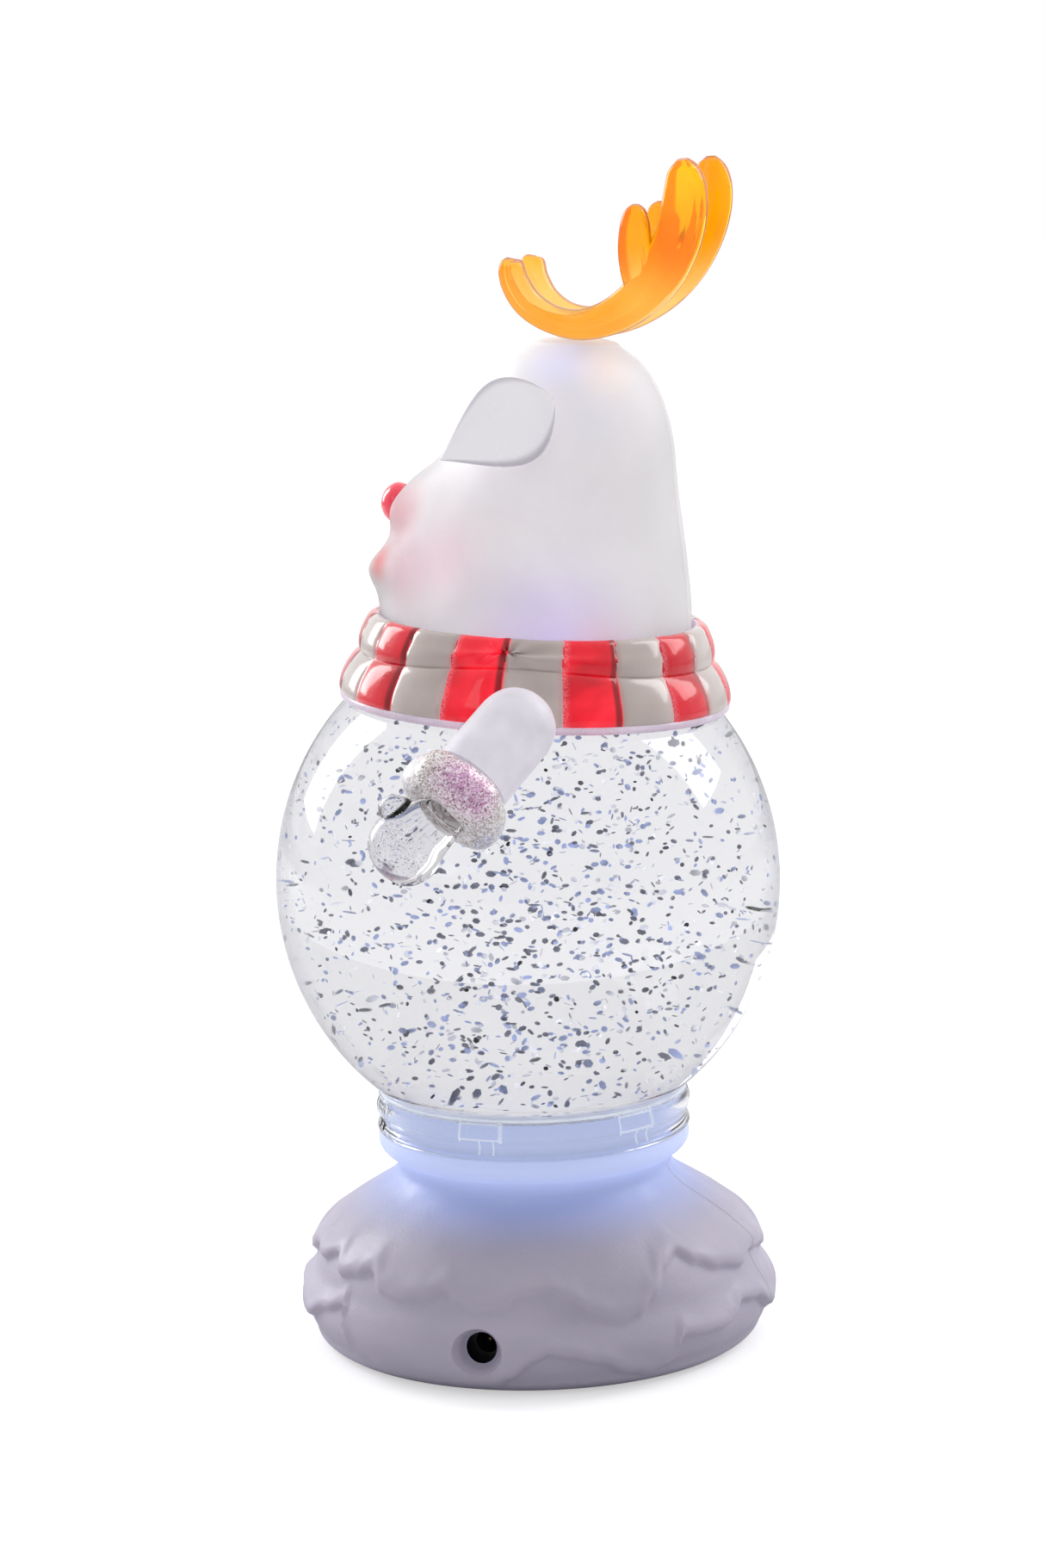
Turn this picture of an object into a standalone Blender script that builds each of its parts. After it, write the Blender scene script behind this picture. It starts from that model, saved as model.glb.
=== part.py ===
"""Glitter water-globe lamp with a reindeer figure: a snow-drift base, a twist-lock globe, a stirrer.

Frame: metres, +Z up, origin on the table under the globe's axis. The figure faces -Y and
its left side is +X. Dimensions are written in millimetres and multiplied by MM.
"""
import math

import bmesh
import bpy
from mathutils import Matrix, Vector

MM = 0.001
GAP = 0.3                      # clearance between touching pieces, mm

# Globe
GLOBE_Z = 101.7                # height of the globe's centre
GLOBE_R = 55.0                 # horizontal radius
GLOBE_H = 57.3                 # vertical semi-axis
GLOBE_WALL = 2.2
LIQUID_GAP = 0.9               # keeps the filling clear of the ball's flat facets
GLOBE_NECK_R = 29.6            # outside radius of the globe's own neck
GLOBE_NECK_Z = 48.2            # lower end of that neck
GLOBE_SHOULDER_Z = 56.8        # height where the neck meets the ball

# Collar and bayonet
COLLAR_R = 34.2
COLLAR_INNER_R = 32.7
COLLAR_GROOVE_R = 33.4
COLLAR_Z = (47.3, 56.2)
GROOVE_Z = (51.3, 54.9)
LUG_COUNT = 6
LUG_WIDTH = 7.0
LUG_R = 32.95
LUG_PHASE_DEG = -4.0           # angle of the first lug from +X
TWIST_DEG = 18.0               # turn that brings the lugs to the entry channels

# Base
BASE_WALL = 2.4
RIM_Z = 0.8                    # the feet lift the shell's rim this far
NECK_TOP_Z = 47.0
NECK_RING = (30.3, 32.2)       # inner and outer radius of the ring that enters the collar
NECK_RING_TOP = 54.6
COVER_R = 44.2
COVER_Z = (0.8, 2.8)
FOOT_R = 3.5
FEET = ((23.4, 31.0), (-23.4, 31.4), (-23.4, -31.4), (23.4, -31.0))
COVER_SCREWS = ((34.0, 19.0), (-33.6, 19.6), (-33.6, -19.6))
SWITCH_X = 31.0
SWITCH_Y = -14.0
JACK_Y = 1.2
JACK_Z = 10.5
JACK_HOLE_R = 3.4
JACK_RECESS_R = 5.4            # where the recess meets the shell's surface

# Battery compartment
CELL_R = 7.1
CELL_LENGTH = 50.0
CELL_X = (-18.3, -3.5, 11.3)
CELL_Z = 11.3
BOX_WALL = 1.3
BOX_X = (-27.4, 20.4)
BOX_Y = (-30.2, 30.2)
BOX_Z = (3.1, 20.3)
DOOR_X = (-24.6, 17.6)
DOOR_Y = (-27.0, 27.0)
DOOR_CLEARANCE = 0.4
DOOR_TOP_Z = 2.5

# Drive
MOTOR_R = 10.0
MOTOR_Z = (23.4, 36.0)
SHAFT_R = 1.0
CARRIER_R = 11.0
CARRIER_Z = (38.4, 42.6)
PLUG_Z = 48.5
PLUG_TOP = 57.0
WELL_R = 12.8                  # the plug's middle is sunk for the stirrer
WELL_FLOOR = 51.8
CAGE_TOP = 59.2
IMPELLER_R = 7.5

# Figure, in its own leaning frame with its origin at the globe's centre
LEAN_DEG = 3.6
HEAD_WALL = 1.6
HEAD_LEVELS = (                # height, front of the skull, back, snout depth
    (52.5, -33.2, 33.2, 0.0),
    (57.0, -33.0, 33.2, 1.0),
    (62.0, -32.0, 33.0, 2.4),
    (67.0, -30.8, 32.4, 5.4),
    (73.0, -29.0, 31.5, 4.4),
    (80.0, -26.3, 30.3, 5.4),
    (86.0, -23.4, 29.3, 5.4),
    (91.0, -20.8, 28.6, 2.2),
    (97.0, -17.8, 27.8, 0.6),
    (103.0, -14.6, 26.2, 0.0),
    (109.0, -11.2, 23.6, 0.0),
    (113.6, -7.6, 20.2, 0.0),
    (116.8, -2.6, 15.6, 0.0),
)
HEAD_TOP = (7.0, 118.2)        # Y and Z of the crown
SHOULDER = (50.0, 9.8, 42.2)  # middle of the sleeve's round upper end
CUFF = (62.8, 1.2, 28.8)
SHOULDER_R = 7.8
SLEEVE_R = 8.4
CUFF_R = 11.6
WRIST_R = 3.6
PALM = ((67.4, -4.2, 22.4), (68.2, -7.4, 19.0), (68.6, -10.8, 15.8), (68.6, -12.6, 14.2))
PALM_HALF = ((5.6, 4.8), (7.0, 5.4), (5.6, 4.2), (0.0, 0.0))
THUMB = ((67.0, -4.2, 24.2), (67.6, -6.4, 25.2), (68.2, -9.6, 26.6), (68.5, -12.2, 27.6), (68.6, -13.0, 27.9))
THUMB_HALF = (0.0, 2.4, 3.3, 2.1, 0.0)
SCARF_OUTLINE = (              # radius and height of the scarf's outside, from its top down
    (34.4, 58.0), (35.8, 57.2), (37.3, 54.4), (38.3, 51.0), (38.4, 49.4), (39.6, 48.2),
    (41.3, 44.8), (42.2, 41.2), (41.6, 39.3),
)
EAR_AT = (21.2, 7.4, 107.0)
EAR_LENGTH = 27.0
EAR_HALF = 9.8

SCENE = bpy.context.scene


# ---------------------------------------------------------------- scene and materials

def clear_scene():
    """Remove every object that the file opened with."""
    for item in list(bpy.data.objects):
        bpy.data.objects.remove(item, do_unlink=True)


def material(name, colour, roughness, metallic=0.0, transmission=0.0):
    """A Principled material with the part's own finish."""
    made = bpy.data.materials.new(name)
    made.use_nodes = True
    shader = made.node_tree.nodes["Principled BSDF"]
    shader.inputs["Base Color"].default_value = (*colour, 1.0)
    shader.inputs["Roughness"].default_value = roughness
    shader.inputs["Metallic"].default_value = metallic
    shader.inputs["Transmission Weight"].default_value = transmission
    return made


def build_materials():
    """All finishes, by name."""
    return {
        "snow_plastic": material("snow_plastic", (0.78, 0.76, 0.82), 0.55),
        "cover_plastic": material("cover_plastic", (0.74, 0.73, 0.78), 0.6),
        "clear_plastic": material("clear_plastic", (0.95, 0.97, 1.0), 0.04, transmission=1.0),
        "liquid": material("liquid", (0.96, 0.97, 1.0), 0.02, transmission=1.0),
        "frosted_plastic": material("frosted_plastic", (0.9, 0.89, 0.93), 0.5, transmission=0.5),
        "ear_plastic": material("ear_plastic", (0.78, 0.75, 0.8), 0.45, transmission=0.3),
        "amber_plastic": material("amber_plastic", (1.0, 0.42, 0.02), 0.08, transmission=0.7),
        "scarf_plastic": material("scarf_plastic", (0.8, 0.05, 0.08), 0.15),
        "nose_plastic": material("nose_plastic", (0.85, 0.06, 0.1), 0.12),
        "glitter_coat": material("glitter_coat", (0.6, 0.52, 0.56), 0.4, metallic=0.3),
        "rubber": material("rubber", (0.1, 0.1, 0.11), 0.85),
        "steel": material("steel", (0.62, 0.62, 0.64), 0.3, metallic=1.0),
        "brass": material("brass", (0.75, 0.56, 0.25), 0.3, metallic=1.0),
        "black_plastic": material("black_plastic", (0.02, 0.02, 0.02), 0.5),
        "board": material("board", (0.05, 0.28, 0.12), 0.5),
        "led_lens": material("led_lens", (0.75, 0.8, 1.0), 0.15, transmission=0.6),
        "cell_wrap": material("cell_wrap", (0.12, 0.2, 0.42), 0.35),
        "magnet": material("magnet", (0.2, 0.2, 0.21), 0.35, metallic=0.8),
        "lead": material("lead", (0.55, 0.05, 0.05), 0.5),
    }


# ---------------------------------------------------------------- building tools

def finish_object(name, mesh_builder, finish, parent=None, sharp_deg=35.0):
    """Turn a bmesh into a named, shaded object."""
    bmesh.ops.recalc_face_normals(mesh_builder, faces=mesh_builder.faces[:])
    mesh = bpy.data.meshes.new(name)
    mesh_builder.to_mesh(mesh)
    mesh_builder.free()
    mesh.shade_smooth()
    mesh.set_sharp_from_angle(angle=math.radians(sharp_deg))
    if finish is not None:
        mesh.materials.append(finish)
    made = bpy.data.objects.new(name, mesh)
    SCENE.collection.objects.link(made)
    made.parent = parent
    return made


def pivot(name, at=(0.0, 0.0, 0.0), parent=None):
    """An empty that carries a body; its place is a joint's axis."""
    made = bpy.data.objects.new(name, None)
    SCENE.collection.objects.link(made)
    made.parent = parent
    made.location = Vector(at) * MM
    return made


def grid_faces(builder, rows, wrap):
    """Join equal rows of vertices with quads; a row of one vertex becomes a fan."""
    for lower, upper in zip(rows, rows[1:]):
        count = max(len(lower), len(upper))
        steps = count if wrap else count - 1
        for i in range(steps):
            j = (i + 1) % count
            corners = []
            for vertex in (lower[i % len(lower)], lower[j % len(lower)],
                           upper[j % len(upper)], upper[i % len(upper)]):
                if vertex not in corners:
                    corners.append(vertex)
            if len(corners) > 2:
                builder.faces.new(corners)


def revolve(profile, segments, shape=None):
    """A closed body of revolution about Z from a closed (radius, height) loop in mm."""
    builder = bmesh.new()
    rows = []
    for radius, height in profile:
        if radius == 0.0:
            rows.append([builder.verts.new(Vector((0.0, 0.0, height)) * MM)])
            continue
        row = []
        for i in range(segments):
            turn = 2.0 * math.pi * i / segments
            r, z = shape(radius, turn, height) if shape else (radius, height)
            row.append(builder.verts.new(Vector((r * math.cos(turn), r * math.sin(turn), z)) * MM))
        rows.append(row)
    if len(rows[0]) > 1:
        rows.append(rows[0])
    grid_faces(builder, rows, wrap=True)
    return builder


def turned(name, profile, segments, finish, parent=None, at=(0.0, 0.0, 0.0)):
    """A turned piece, placed by its location."""
    made = finish_object(name, revolve(profile, segments), finish, parent)
    made.location = Vector(at) * MM
    return made


def rod(name, radius, z_range, segments, finish, parent=None, at=(0.0, 0.0, 0.0)):
    """A plain round bar along Z."""
    low, high = z_range
    profile = ((0.0, high), (radius, high), (radius, low), (0.0, low))
    return turned(name, profile, segments, finish, parent, at)


def box(name, low, high, finish, parent=None, bevel=0.0):
    """A rectangular block between two corners, in mm."""
    builder = bmesh.new()
    bmesh.ops.create_cube(builder, size=1.0)
    low, high = Vector(low), Vector(high)
    size = high - low
    bmesh.ops.scale(builder, vec=size * MM, verts=builder.verts)
    if bevel:
        bmesh.ops.bevel(builder, geom=builder.edges[:], offset=bevel * MM, segments=2,
                        profile=0.5, affect="EDGES")
    made = finish_object(name, builder, finish, parent)
    made.location = (low + high) * 0.5 * MM
    return made


def loft(path, radii, sides, across):
    """A closed limb along a path; each ring is an ellipse (half across, half in plane)."""
    builder = bmesh.new()
    points = [Vector(point) for point in path]
    rows = []
    last = len(points) - 1
    for k, point in enumerate(points):
        along = (points[min(k + 1, last)] - points[max(k - 1, 0)]).normalized()
        first = (Vector(across) - along * along.dot(Vector(across))).normalized()
        second = along.cross(first)
        half_a, half_b = radii[k]
        if half_a == 0.0:
            rows.append([builder.verts.new(point * MM)])
            continue
        row = []
        for i in range(sides):
            turn = 2.0 * math.pi * i / sides
            offset = first * (half_a * math.cos(turn)) + second * (half_b * math.sin(turn))
            row.append(builder.verts.new((point + offset) * MM))
        rows.append(row)
    grid_faces(builder, rows, wrap=True)
    return builder


def cutter(name, builder, parent=None):
    """A hidden solid that only cuts."""
    made = finish_object(name, builder, None, parent)
    made.hide_render = True
    made.display_type = "WIRE"
    return made


def combine(target, tool, operation):
    """Add an EXACT Boolean of one object with another."""
    step = target.modifiers.new(tool.name, "BOOLEAN")
    step.object = tool
    step.operation = operation
    step.solver = "EXACT"


def block_cutter(name, low, high, parent=None):
    """A rectangular cutter between two corners."""
    made = box(name, low, high, None, parent)
    made.hide_render = True
    made.display_type = "WIRE"
    return made


def ring_block(name, low, high, turn, parent=None):
    """A block cutter turned about Z to its place on a ring."""
    made = block_cutter(name, low, high, parent)
    made.rotation_euler.z = turn
    made.location = Matrix.Rotation(turn, 3, "Z") @ made.location
    return made


def round_cutter(name, radius, z_range, at, parent=None, segments=16):
    """A round cutter along Z."""
    made = rod(name, radius, z_range, segments, None, parent, at)
    made.hide_render = True
    made.display_type = "WIRE"
    return made


def ball_arc(inset, start_z, steps):
    """Points of the ball's outline from the crown down to start_z, a wall inside it."""
    half_w = GLOBE_R - inset
    half_h = GLOBE_H - inset
    end = math.acos((start_z - GLOBE_Z) / half_h)
    arc = []
    for i in range(steps + 1):
        turn = end * i / steps
        arc.append((half_w * math.sin(turn), GLOBE_Z + half_h * math.cos(turn)))
    arc[0] = (0.0, GLOBE_Z + half_h)
    return arc


# ---------------------------------------------------------------- base

BASE_OUTLINE = (               # radius and height of the snow drift, from its rim up
    (46.8, 0.8), (49.6, 2.8), (51.8, 6.0), (52.6, 9.8), (51.8, 13.4), (49.6, 16.8),
    (48.4, 20.0), (46.6, 24.0), (42.8, 28.2), (37.8, 32.2), (33.2, 35.4), (30.7, 38.4),
    (31.6, 41.0), (33.8, 42.8), (34.7, 44.8), (34.3, 47.0),
)


def drift(radius, turn, height):
    """Swell the drift into lobes, strongest at its two tiers and gone at rim and neck."""
    lower = math.exp(-((height - 8.5) / 5.0) ** 2)
    upper = math.exp(-((height - 20.0) / 5.0) ** 2)
    wave = 0.7 * lower * math.sin(7.0 * turn + 0.6) + 0.9 * upper * math.sin(5.0 * turn + 2.0)
    return radius + wave, height


def build_base_shell(finish):
    """The one-piece snow-drift shell with its neck ring and bayonet lugs."""
    inner_r, outer_r = NECK_RING
    inside = [(inner_r, NECK_RING_TOP), (inner_r, 46.4), (28.2, 44.6), (28.2, 38.6), (30.6, 35.0)]
    for radius, height in reversed(BASE_OUTLINE[2:9:2]):
        inside.append((radius - BASE_WALL - 1.0, height - 0.6))
    inside.append((COVER_R + GAP, COVER_Z[1] + GAP))
    inside.append((COVER_R + GAP, RIM_Z))
    profile = list(BASE_OUTLINE)
    profile.append((outer_r, NECK_TOP_Z))
    profile.append((outer_r, NECK_RING_TOP))
    profile.extend(inside)
    outline_radii = {height: radius for radius, height in BASE_OUTLINE}

    def shape(radius, turn, height):
        if outline_radii.get(height) == radius:
            return drift(radius, turn, height)
        return radius, height

    made = finish_object("base_shell", revolve(profile, 40, shape), finish)
    for i in range(LUG_COUNT):
        turn = 2.0 * math.pi * i / LUG_COUNT + math.radians(LUG_PHASE_DEG)
        lug = ring_block(f"lug_tool_{i}", (outer_r - 0.8, -LUG_WIDTH / 2, GROOVE_Z[0] + 0.5),
                         (LUG_R, LUG_WIDTH / 2, GROOVE_Z[1] - 0.8), turn)
        combine(made, lug, "UNION")
    side = Matrix.Rotation(math.radians(90.0), 4, "Y")
    recess_profile = ((0.0, 7.0), (2.0 * JACK_RECESS_R - JACK_HOLE_R, 7.0), (JACK_HOLE_R, -1.0),
                      (JACK_HOLE_R, -9.0), (0.0, -9.0))
    recess = cutter("jack_hole_tool", revolve(recess_profile, 24))
    recess.matrix_world = Matrix.Translation(Vector((49.0, JACK_Y, JACK_Z)) * MM) @ side
    combine(made, recess, "DIFFERENCE")
    return made


def build_bottom_cover(finish):
    """The round underside with the battery opening, switch slot and screw holes."""
    low, high = COVER_Z
    profile = ((0.0, high), (COVER_R, high), (COVER_R, low), (0.0, low))
    made = finish_object("bottom_cover", revolve(profile, 40), finish)
    opening = block_cutter("door_opening_tool", (DOOR_X[0], DOOR_Y[0], low - 1.0),
                           (DOOR_X[1], DOOR_Y[1], high + 1.0))
    slot = block_cutter("switch_slot_tool", (SWITCH_X - 2.2, SWITCH_Y - 4.6, low - 1.0),
                        (SWITCH_X + 2.2, SWITCH_Y + 4.6, high + 1.0))
    combine(made, opening, "DIFFERENCE")
    combine(made, slot, "DIFFERENCE")
    for i, (x, y) in enumerate(COVER_SCREWS):
        hole = round_cutter(f"cover_hole_tool_{i}", 2.9, (low - 1.0, high + 1.0), (x, y, 0.0))
        combine(made, hole, "DIFFERENCE")
    for i, (x, y) in enumerate(FEET):
        seat = round_cutter(f"foot_seat_tool_{i}", FOOT_R + GAP, (low - 1.0, low + 0.8), (x, y, 0.0))
        combine(made, seat, "DIFFERENCE")
    return made


def build_base_details(paint):
    """Feet, screws, switch body, jack and boards inside the base."""
    low = COVER_Z[0]
    for i, (x, y) in enumerate(FEET):
        profile = ((0.0, low + 0.5), (FOOT_R, low + 0.5), (FOOT_R, 0.5), (FOOT_R - 0.5, 0.0), (0.0, 0.0))
        turned(f"rubber_foot_{i + 1}", profile, 14, paint["rubber"], at=(x, y, 0.0))
    for i, (x, y) in enumerate(COVER_SCREWS):
        profile = ((0.0, 11.0), (1.1, 9.6), (1.1, 3.2), (2.5, 2.4), (2.5, 1.3), (0.9, 1.3), (0.0, 1.9))
        turned(f"cover_screw_{i + 1}", profile, 12, paint["steel"], at=(x, y, 0.0))
    box("switch_body", (SWITCH_X - 3.2, SWITCH_Y - 6.5, COVER_Z[1] + 0.9),
        (SWITCH_X + 3.2, SWITCH_Y + 6.5, 8.6), paint["black_plastic"], bevel=0.3)
    box("control_board", (23.2, -18.0, 16.6), (36.4, 15.0, 17.8), paint["board"], bevel=0.15)
    build_dc_jack(paint)


def build_dc_jack(paint):
    """The socket behind the shell's side hole, open towards +X, with its centre pin."""
    body = box("dc_jack", (31.4, JACK_Y - 4.6, JACK_Z - 4.8), (43.4, JACK_Y + 4.6, JACK_Z + 4.8),
               paint["black_plastic"], bevel=0.3)
    side = Matrix.Rotation(math.radians(90.0), 4, "Y")
    bore_profile = ((0.0, 5.0), (2.6, 5.0), (2.6, -8.4), (0.0, -8.4))
    bore = cutter("jack_bore_tool", revolve(bore_profile, 20))
    bore.matrix_world = Matrix.Translation(Vector((43.4, JACK_Y, JACK_Z)) * MM) @ side
    combine(body, bore, "DIFFERENCE")
    pin_profile = ((0.0, 7.3), (0.4, 7.1), (0.65, 6.6), (0.65, 0.0), (0.0, 0.0))
    pin = turned("jack_pin", pin_profile, 12, paint["brass"])
    pin.rotation_euler.y = math.radians(90.0)
    pin.location = Vector((35.3, JACK_Y, JACK_Z)) * MM


def build_batteries(paint):
    """The compartment, its three cells and their contacts."""
    made = box("battery_box", (BOX_X[0], BOX_Y[0], BOX_Z[0]), (BOX_X[1], BOX_Y[1], BOX_Z[1]),
               paint["cover_plastic"])
    hollow = block_cutter("battery_box_tool",
                          (BOX_X[0] + BOX_WALL, BOX_Y[0] + BOX_WALL, BOX_Z[0] - 2.0),
                          (BOX_X[1] - BOX_WALL, BOX_Y[1] - BOX_WALL, BOX_Z[1] - BOX_WALL))
    combine(made, hollow, "DIFFERENCE")
    half = CELL_LENGTH / 2.0
    profile = ((0.0, half), (2.5, half), (2.5, half - 1.2), (CELL_R - 0.6, half - 1.5),
               (CELL_R, half - 2.2), (CELL_R, -half + 0.8), (CELL_R - 0.8, -half), (0.0, -half))
    for i, x in enumerate(CELL_X):
        way = 1.0 if i % 2 else -1.0
        place = (x, -2.8 * way, CELL_Z)
        cell = turned(f"battery_cell_{i + 1}", profile, 14, paint["cell_wrap"], at=place)
        cell.rotation_euler.x = math.radians(90.0 * way)
        spring = finish_object(f"battery_spring_{i + 1}", cell_spring(), paint["steel"])
        spring.location = Vector((x, 25.0 * way, CELL_Z)) * MM
        spring.rotation_euler.x = math.radians(90.0 * way)
    for label, y in (("front", -28.4), ("rear", 28.4)):
        box(f"contact_plate_{label}", (CELL_X[0] - 5.0, y - 0.2, CELL_Z - 5.0),
            (CELL_X[2] + 5.0, y + 0.2, CELL_Z + 5.0), paint["steel"])


def cell_spring():
    """A wound spring for a cell's flat end, along Z."""
    turns = 2.0
    steps = 20
    path = []
    for i in range(steps + 1):
        part = i / steps
        turn = 2.0 * math.pi * turns * part
        radius = 4.8 - 1.8 * part
        path.append((radius * math.cos(turn), radius * math.sin(turn), -2.5 + 4.9 * part))
    radii = [(0.3, 0.3)] * (steps + 1)
    radii[0] = (0.0, 0.0)
    radii[-1] = (0.0, 0.0)
    return loft(path, radii, 5, (0.0, 0.0, 1.0))


def build_door(paint, door_pivot):
    """The battery door and its captive screw."""
    inset = DOOR_CLEARANCE
    low = COVER_Z[0]
    made = box("battery_door", (DOOR_X[0] + inset, DOOR_Y[0] + inset, low),
               (DOOR_X[1] - inset, DOOR_Y[1] - inset, DOOR_TOP_Z), paint["cover_plastic"])
    hole = round_cutter("door_hole_tool", 2.3, (low - 1.0, DOOR_TOP_Z + 1.0), (-3.5, -23.0, 0.0))
    combine(made, hole, "DIFFERENCE")
    for i in range(5):
        y = 8.0 + 3.0 * i
        grip = block_cutter(f"door_grip_tool_{i}", (-12.0, y, low - 1.0), (5.0, y + 1.4, low + 0.5))
        combine(made, grip, "DIFFERENCE")
    profile = ((0.0, 2.4), (1.9, 2.4), (1.9, 1.2), (0.8, 1.2), (0.0, 1.7))
    screw = turned("door_screw", profile, 14, paint["steel"], at=(-3.5, -23.0, 0.0))
    for piece in (made, screw):
        piece.parent = door_pivot
        piece.location = piece.location - door_pivot.location


def build_switch_knob(paint, switch_pivot):
    """The slider in the cover's slot."""
    made = box("switch_knob", (-1.6, -2.0, -1.0), (1.6, 2.0, 1.5), paint["black_plastic"], bevel=0.2)
    made.parent = switch_pivot


# ---------------------------------------------------------------- drive and light

def build_drive(paint, drive_pivot):
    """Motor, its bracket, the shaft and the magnet carrier on it."""
    low, high = MOTOR_Z
    profile = ((SHAFT_R + GAP, high), (MOTOR_R, high), (MOTOR_R, low), (SHAFT_R + GAP, low))
    turned("motor_can", profile, 20, paint["steel"])
    bracket = box("motor_bracket", (-24.0, -9.0, BOX_Z[1] + GAP), (20.0, 9.0, low - GAP),
                  paint["cover_plastic"], bevel=0.4)
    seat = round_cutter("motor_seat_tool", 4.0, (BOX_Z[1] - 1.0, low + 1.0), (0.0, 0.0, 0.0))
    combine(bracket, seat, "DIFFERENCE")
    rod("motor_shaft", SHAFT_R, (low + 0.6, CARRIER_Z[1] - 0.9), 12, paint["steel"], drive_pivot)
    low, high = CARRIER_Z
    profile = ((0.0, high), (CARRIER_R, high), (CARRIER_R, low), (2.4, low), (2.4, low - 1.4),
               (SHAFT_R + GAP, low - 1.4), (SHAFT_R + GAP, high - 0.6), (0.0, high - 0.6))
    turned("magnet_carrier", profile, 20, paint["magnet"], drive_pivot)


def build_light(paint):
    """LED board under the clear window in the neck, with its tray and lamps."""
    tray = ((27.6, 38.0), (27.6, 36.8), (12.4, 36.8), (12.4, 38.0))
    turned("light_tray", tray, 24, paint["snow_plastic"])
    board = ((27.0, 39.4), (27.0, 38.3), (12.6, 38.3), (12.6, 39.4))
    turned("led_board", board, 24, paint["board"])
    lamp = ((0.0, 43.2), (1.5, 42.7), (2.3, 41.4), (2.3, 39.7), (0.0, 39.7))
    for i in range(4):
        turn = math.radians(45.0 + 90.0 * i)
        place = (19.5 * math.cos(turn), 19.5 * math.sin(turn), 0.0)
        turned(f"led_{i + 1}", lamp, 12, paint["led_lens"], at=place)
    window = ((0.0, 47.2), (30.0, 47.2), (30.0, 46.7), (27.8, 46.2), (27.8, 45.4), (0.0, 45.4))
    turned("light_window", window, 24, paint["clear_plastic"])
    path = ((30.0, -9.0, 18.6), (29.6, -11.0, 20.6), (26.0, -12.5, 23.0), (20.0, -13.0, 25.6),
            (14.8, -11.0, 28.6), (11.8, -5.0, 30.4), (11.2, -1.0, 30.6))
    radii = [(0.8, 0.8)] * len(path)
    radii[0] = (0.0, 0.0)
    radii[-1] = (0.0, 0.0)
    finish_object("motor_lead", loft(path, radii, 8, (0.0, 0.0, 1.0)), paint["lead"])


# ---------------------------------------------------------------- globe

def build_globe_shell(finish, parent):
    """The blown ball with its neck, open at the bottom."""
    outside = ball_arc(0.0, GLOBE_SHOULDER_Z, 11)
    inside = ball_arc(GLOBE_WALL, GLOBE_SHOULDER_Z + 2.2, 10)
    inner_neck = GLOBE_NECK_R - 2.0
    profile = list(outside)
    profile.append((GLOBE_NECK_R, GLOBE_SHOULDER_Z - 0.6))
    profile.append((GLOBE_NECK_R, GLOBE_NECK_Z))
    profile.append((inner_neck, GLOBE_NECK_Z))
    profile.append((inner_neck, GLOBE_SHOULDER_Z + 0.6))
    profile.extend(reversed(inside))
    return finish_object("globe_shell", revolve(profile, 36), finish, parent)


def build_liquid(finish, parent):
    """The filling, which stands on the plug and clears the cage's dome."""
    profile = ball_arc(GLOBE_WALL + LIQUID_GAP, GLOBE_SHOULDER_Z + 3.2, 8)
    floor = PLUG_TOP + GAP
    well = WELL_R + GAP
    profile.append((GLOBE_NECK_R - 2.0 - GAP, floor))
    profile.append((well, floor))
    profile.append((well, CAGE_TOP + GAP))
    profile.append((0.0, CAGE_TOP + GAP))
    return finish_object("glitter_liquid", revolve(profile, 24), finish, parent)


def build_plug(paint, parent):
    """Sealing plug, its ring and the stirrer's slotted cage."""
    neck = GLOBE_NECK_R - 2.0 - GAP
    profile = ((WELL_R, PLUG_TOP), (neck, PLUG_TOP), (neck, 50.9), (neck - 1.5, 50.9),
               (neck - 1.5, 49.3), (neck, 49.3), (neck, PLUG_Z), (0.0, PLUG_Z), (0.0, WELL_FLOOR),
               (WELL_R, WELL_FLOOR))
    turned("globe_plug", profile, 24, paint["clear_plastic"], parent)
    middle = neck - 0.65
    ring = [(middle + 0.55 * math.cos(turn), 50.1 + 0.55 * math.sin(turn))
            for turn in (-2.0 * math.pi * k / 5 for k in range(5))]
    turned("plug_seal", ring, 24, paint["rubber"], parent)
    wall = WELL_R - 0.5
    profile = ((0.0, CAGE_TOP), (8.0, CAGE_TOP), (wall, 57.6), (wall, WELL_FLOOR + GAP),
               (wall - 1.0, WELL_FLOOR + GAP), (wall - 1.0, 57.0), (7.6, CAGE_TOP - 1.2),
               (0.0, CAGE_TOP - 1.2))
    cage = turned("impeller_cage", profile, 18, paint["clear_plastic"], parent)
    for i in range(6):
        port = ring_block(f"cage_port_tool_{i}", (3.2, -1.1, 56.4), (9.8, 1.1, CAGE_TOP + 1.0),
                          2.0 * math.pi * i / 6, parent)
        combine(cage, port, "DIFFERENCE")


def build_impeller(paint, impeller_pivot):
    """The stirrer: a hub with four blades, over its driven magnet."""
    profile = ((0.0, 57.5), (1.8, 57.1), (2.6, 55.6), (2.6, 54.6), (0.0, 54.6))
    hub = turned("impeller", profile, 20, paint["frosted_plastic"], impeller_pivot)
    for i in range(4):
        blade = ring_block(f"blade_tool_{i}", (1.2, -0.6, 54.9), (IMPELLER_R, 0.6, 56.8),
                           math.radians(90.0 * i), impeller_pivot)
        blade.rotation_euler.x = math.radians(12.0)
        combine(hub, blade, "UNION")
    rod("impeller_magnet", 6.8, (52.2, 54.2), 24, paint["magnet"], impeller_pivot)


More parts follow.
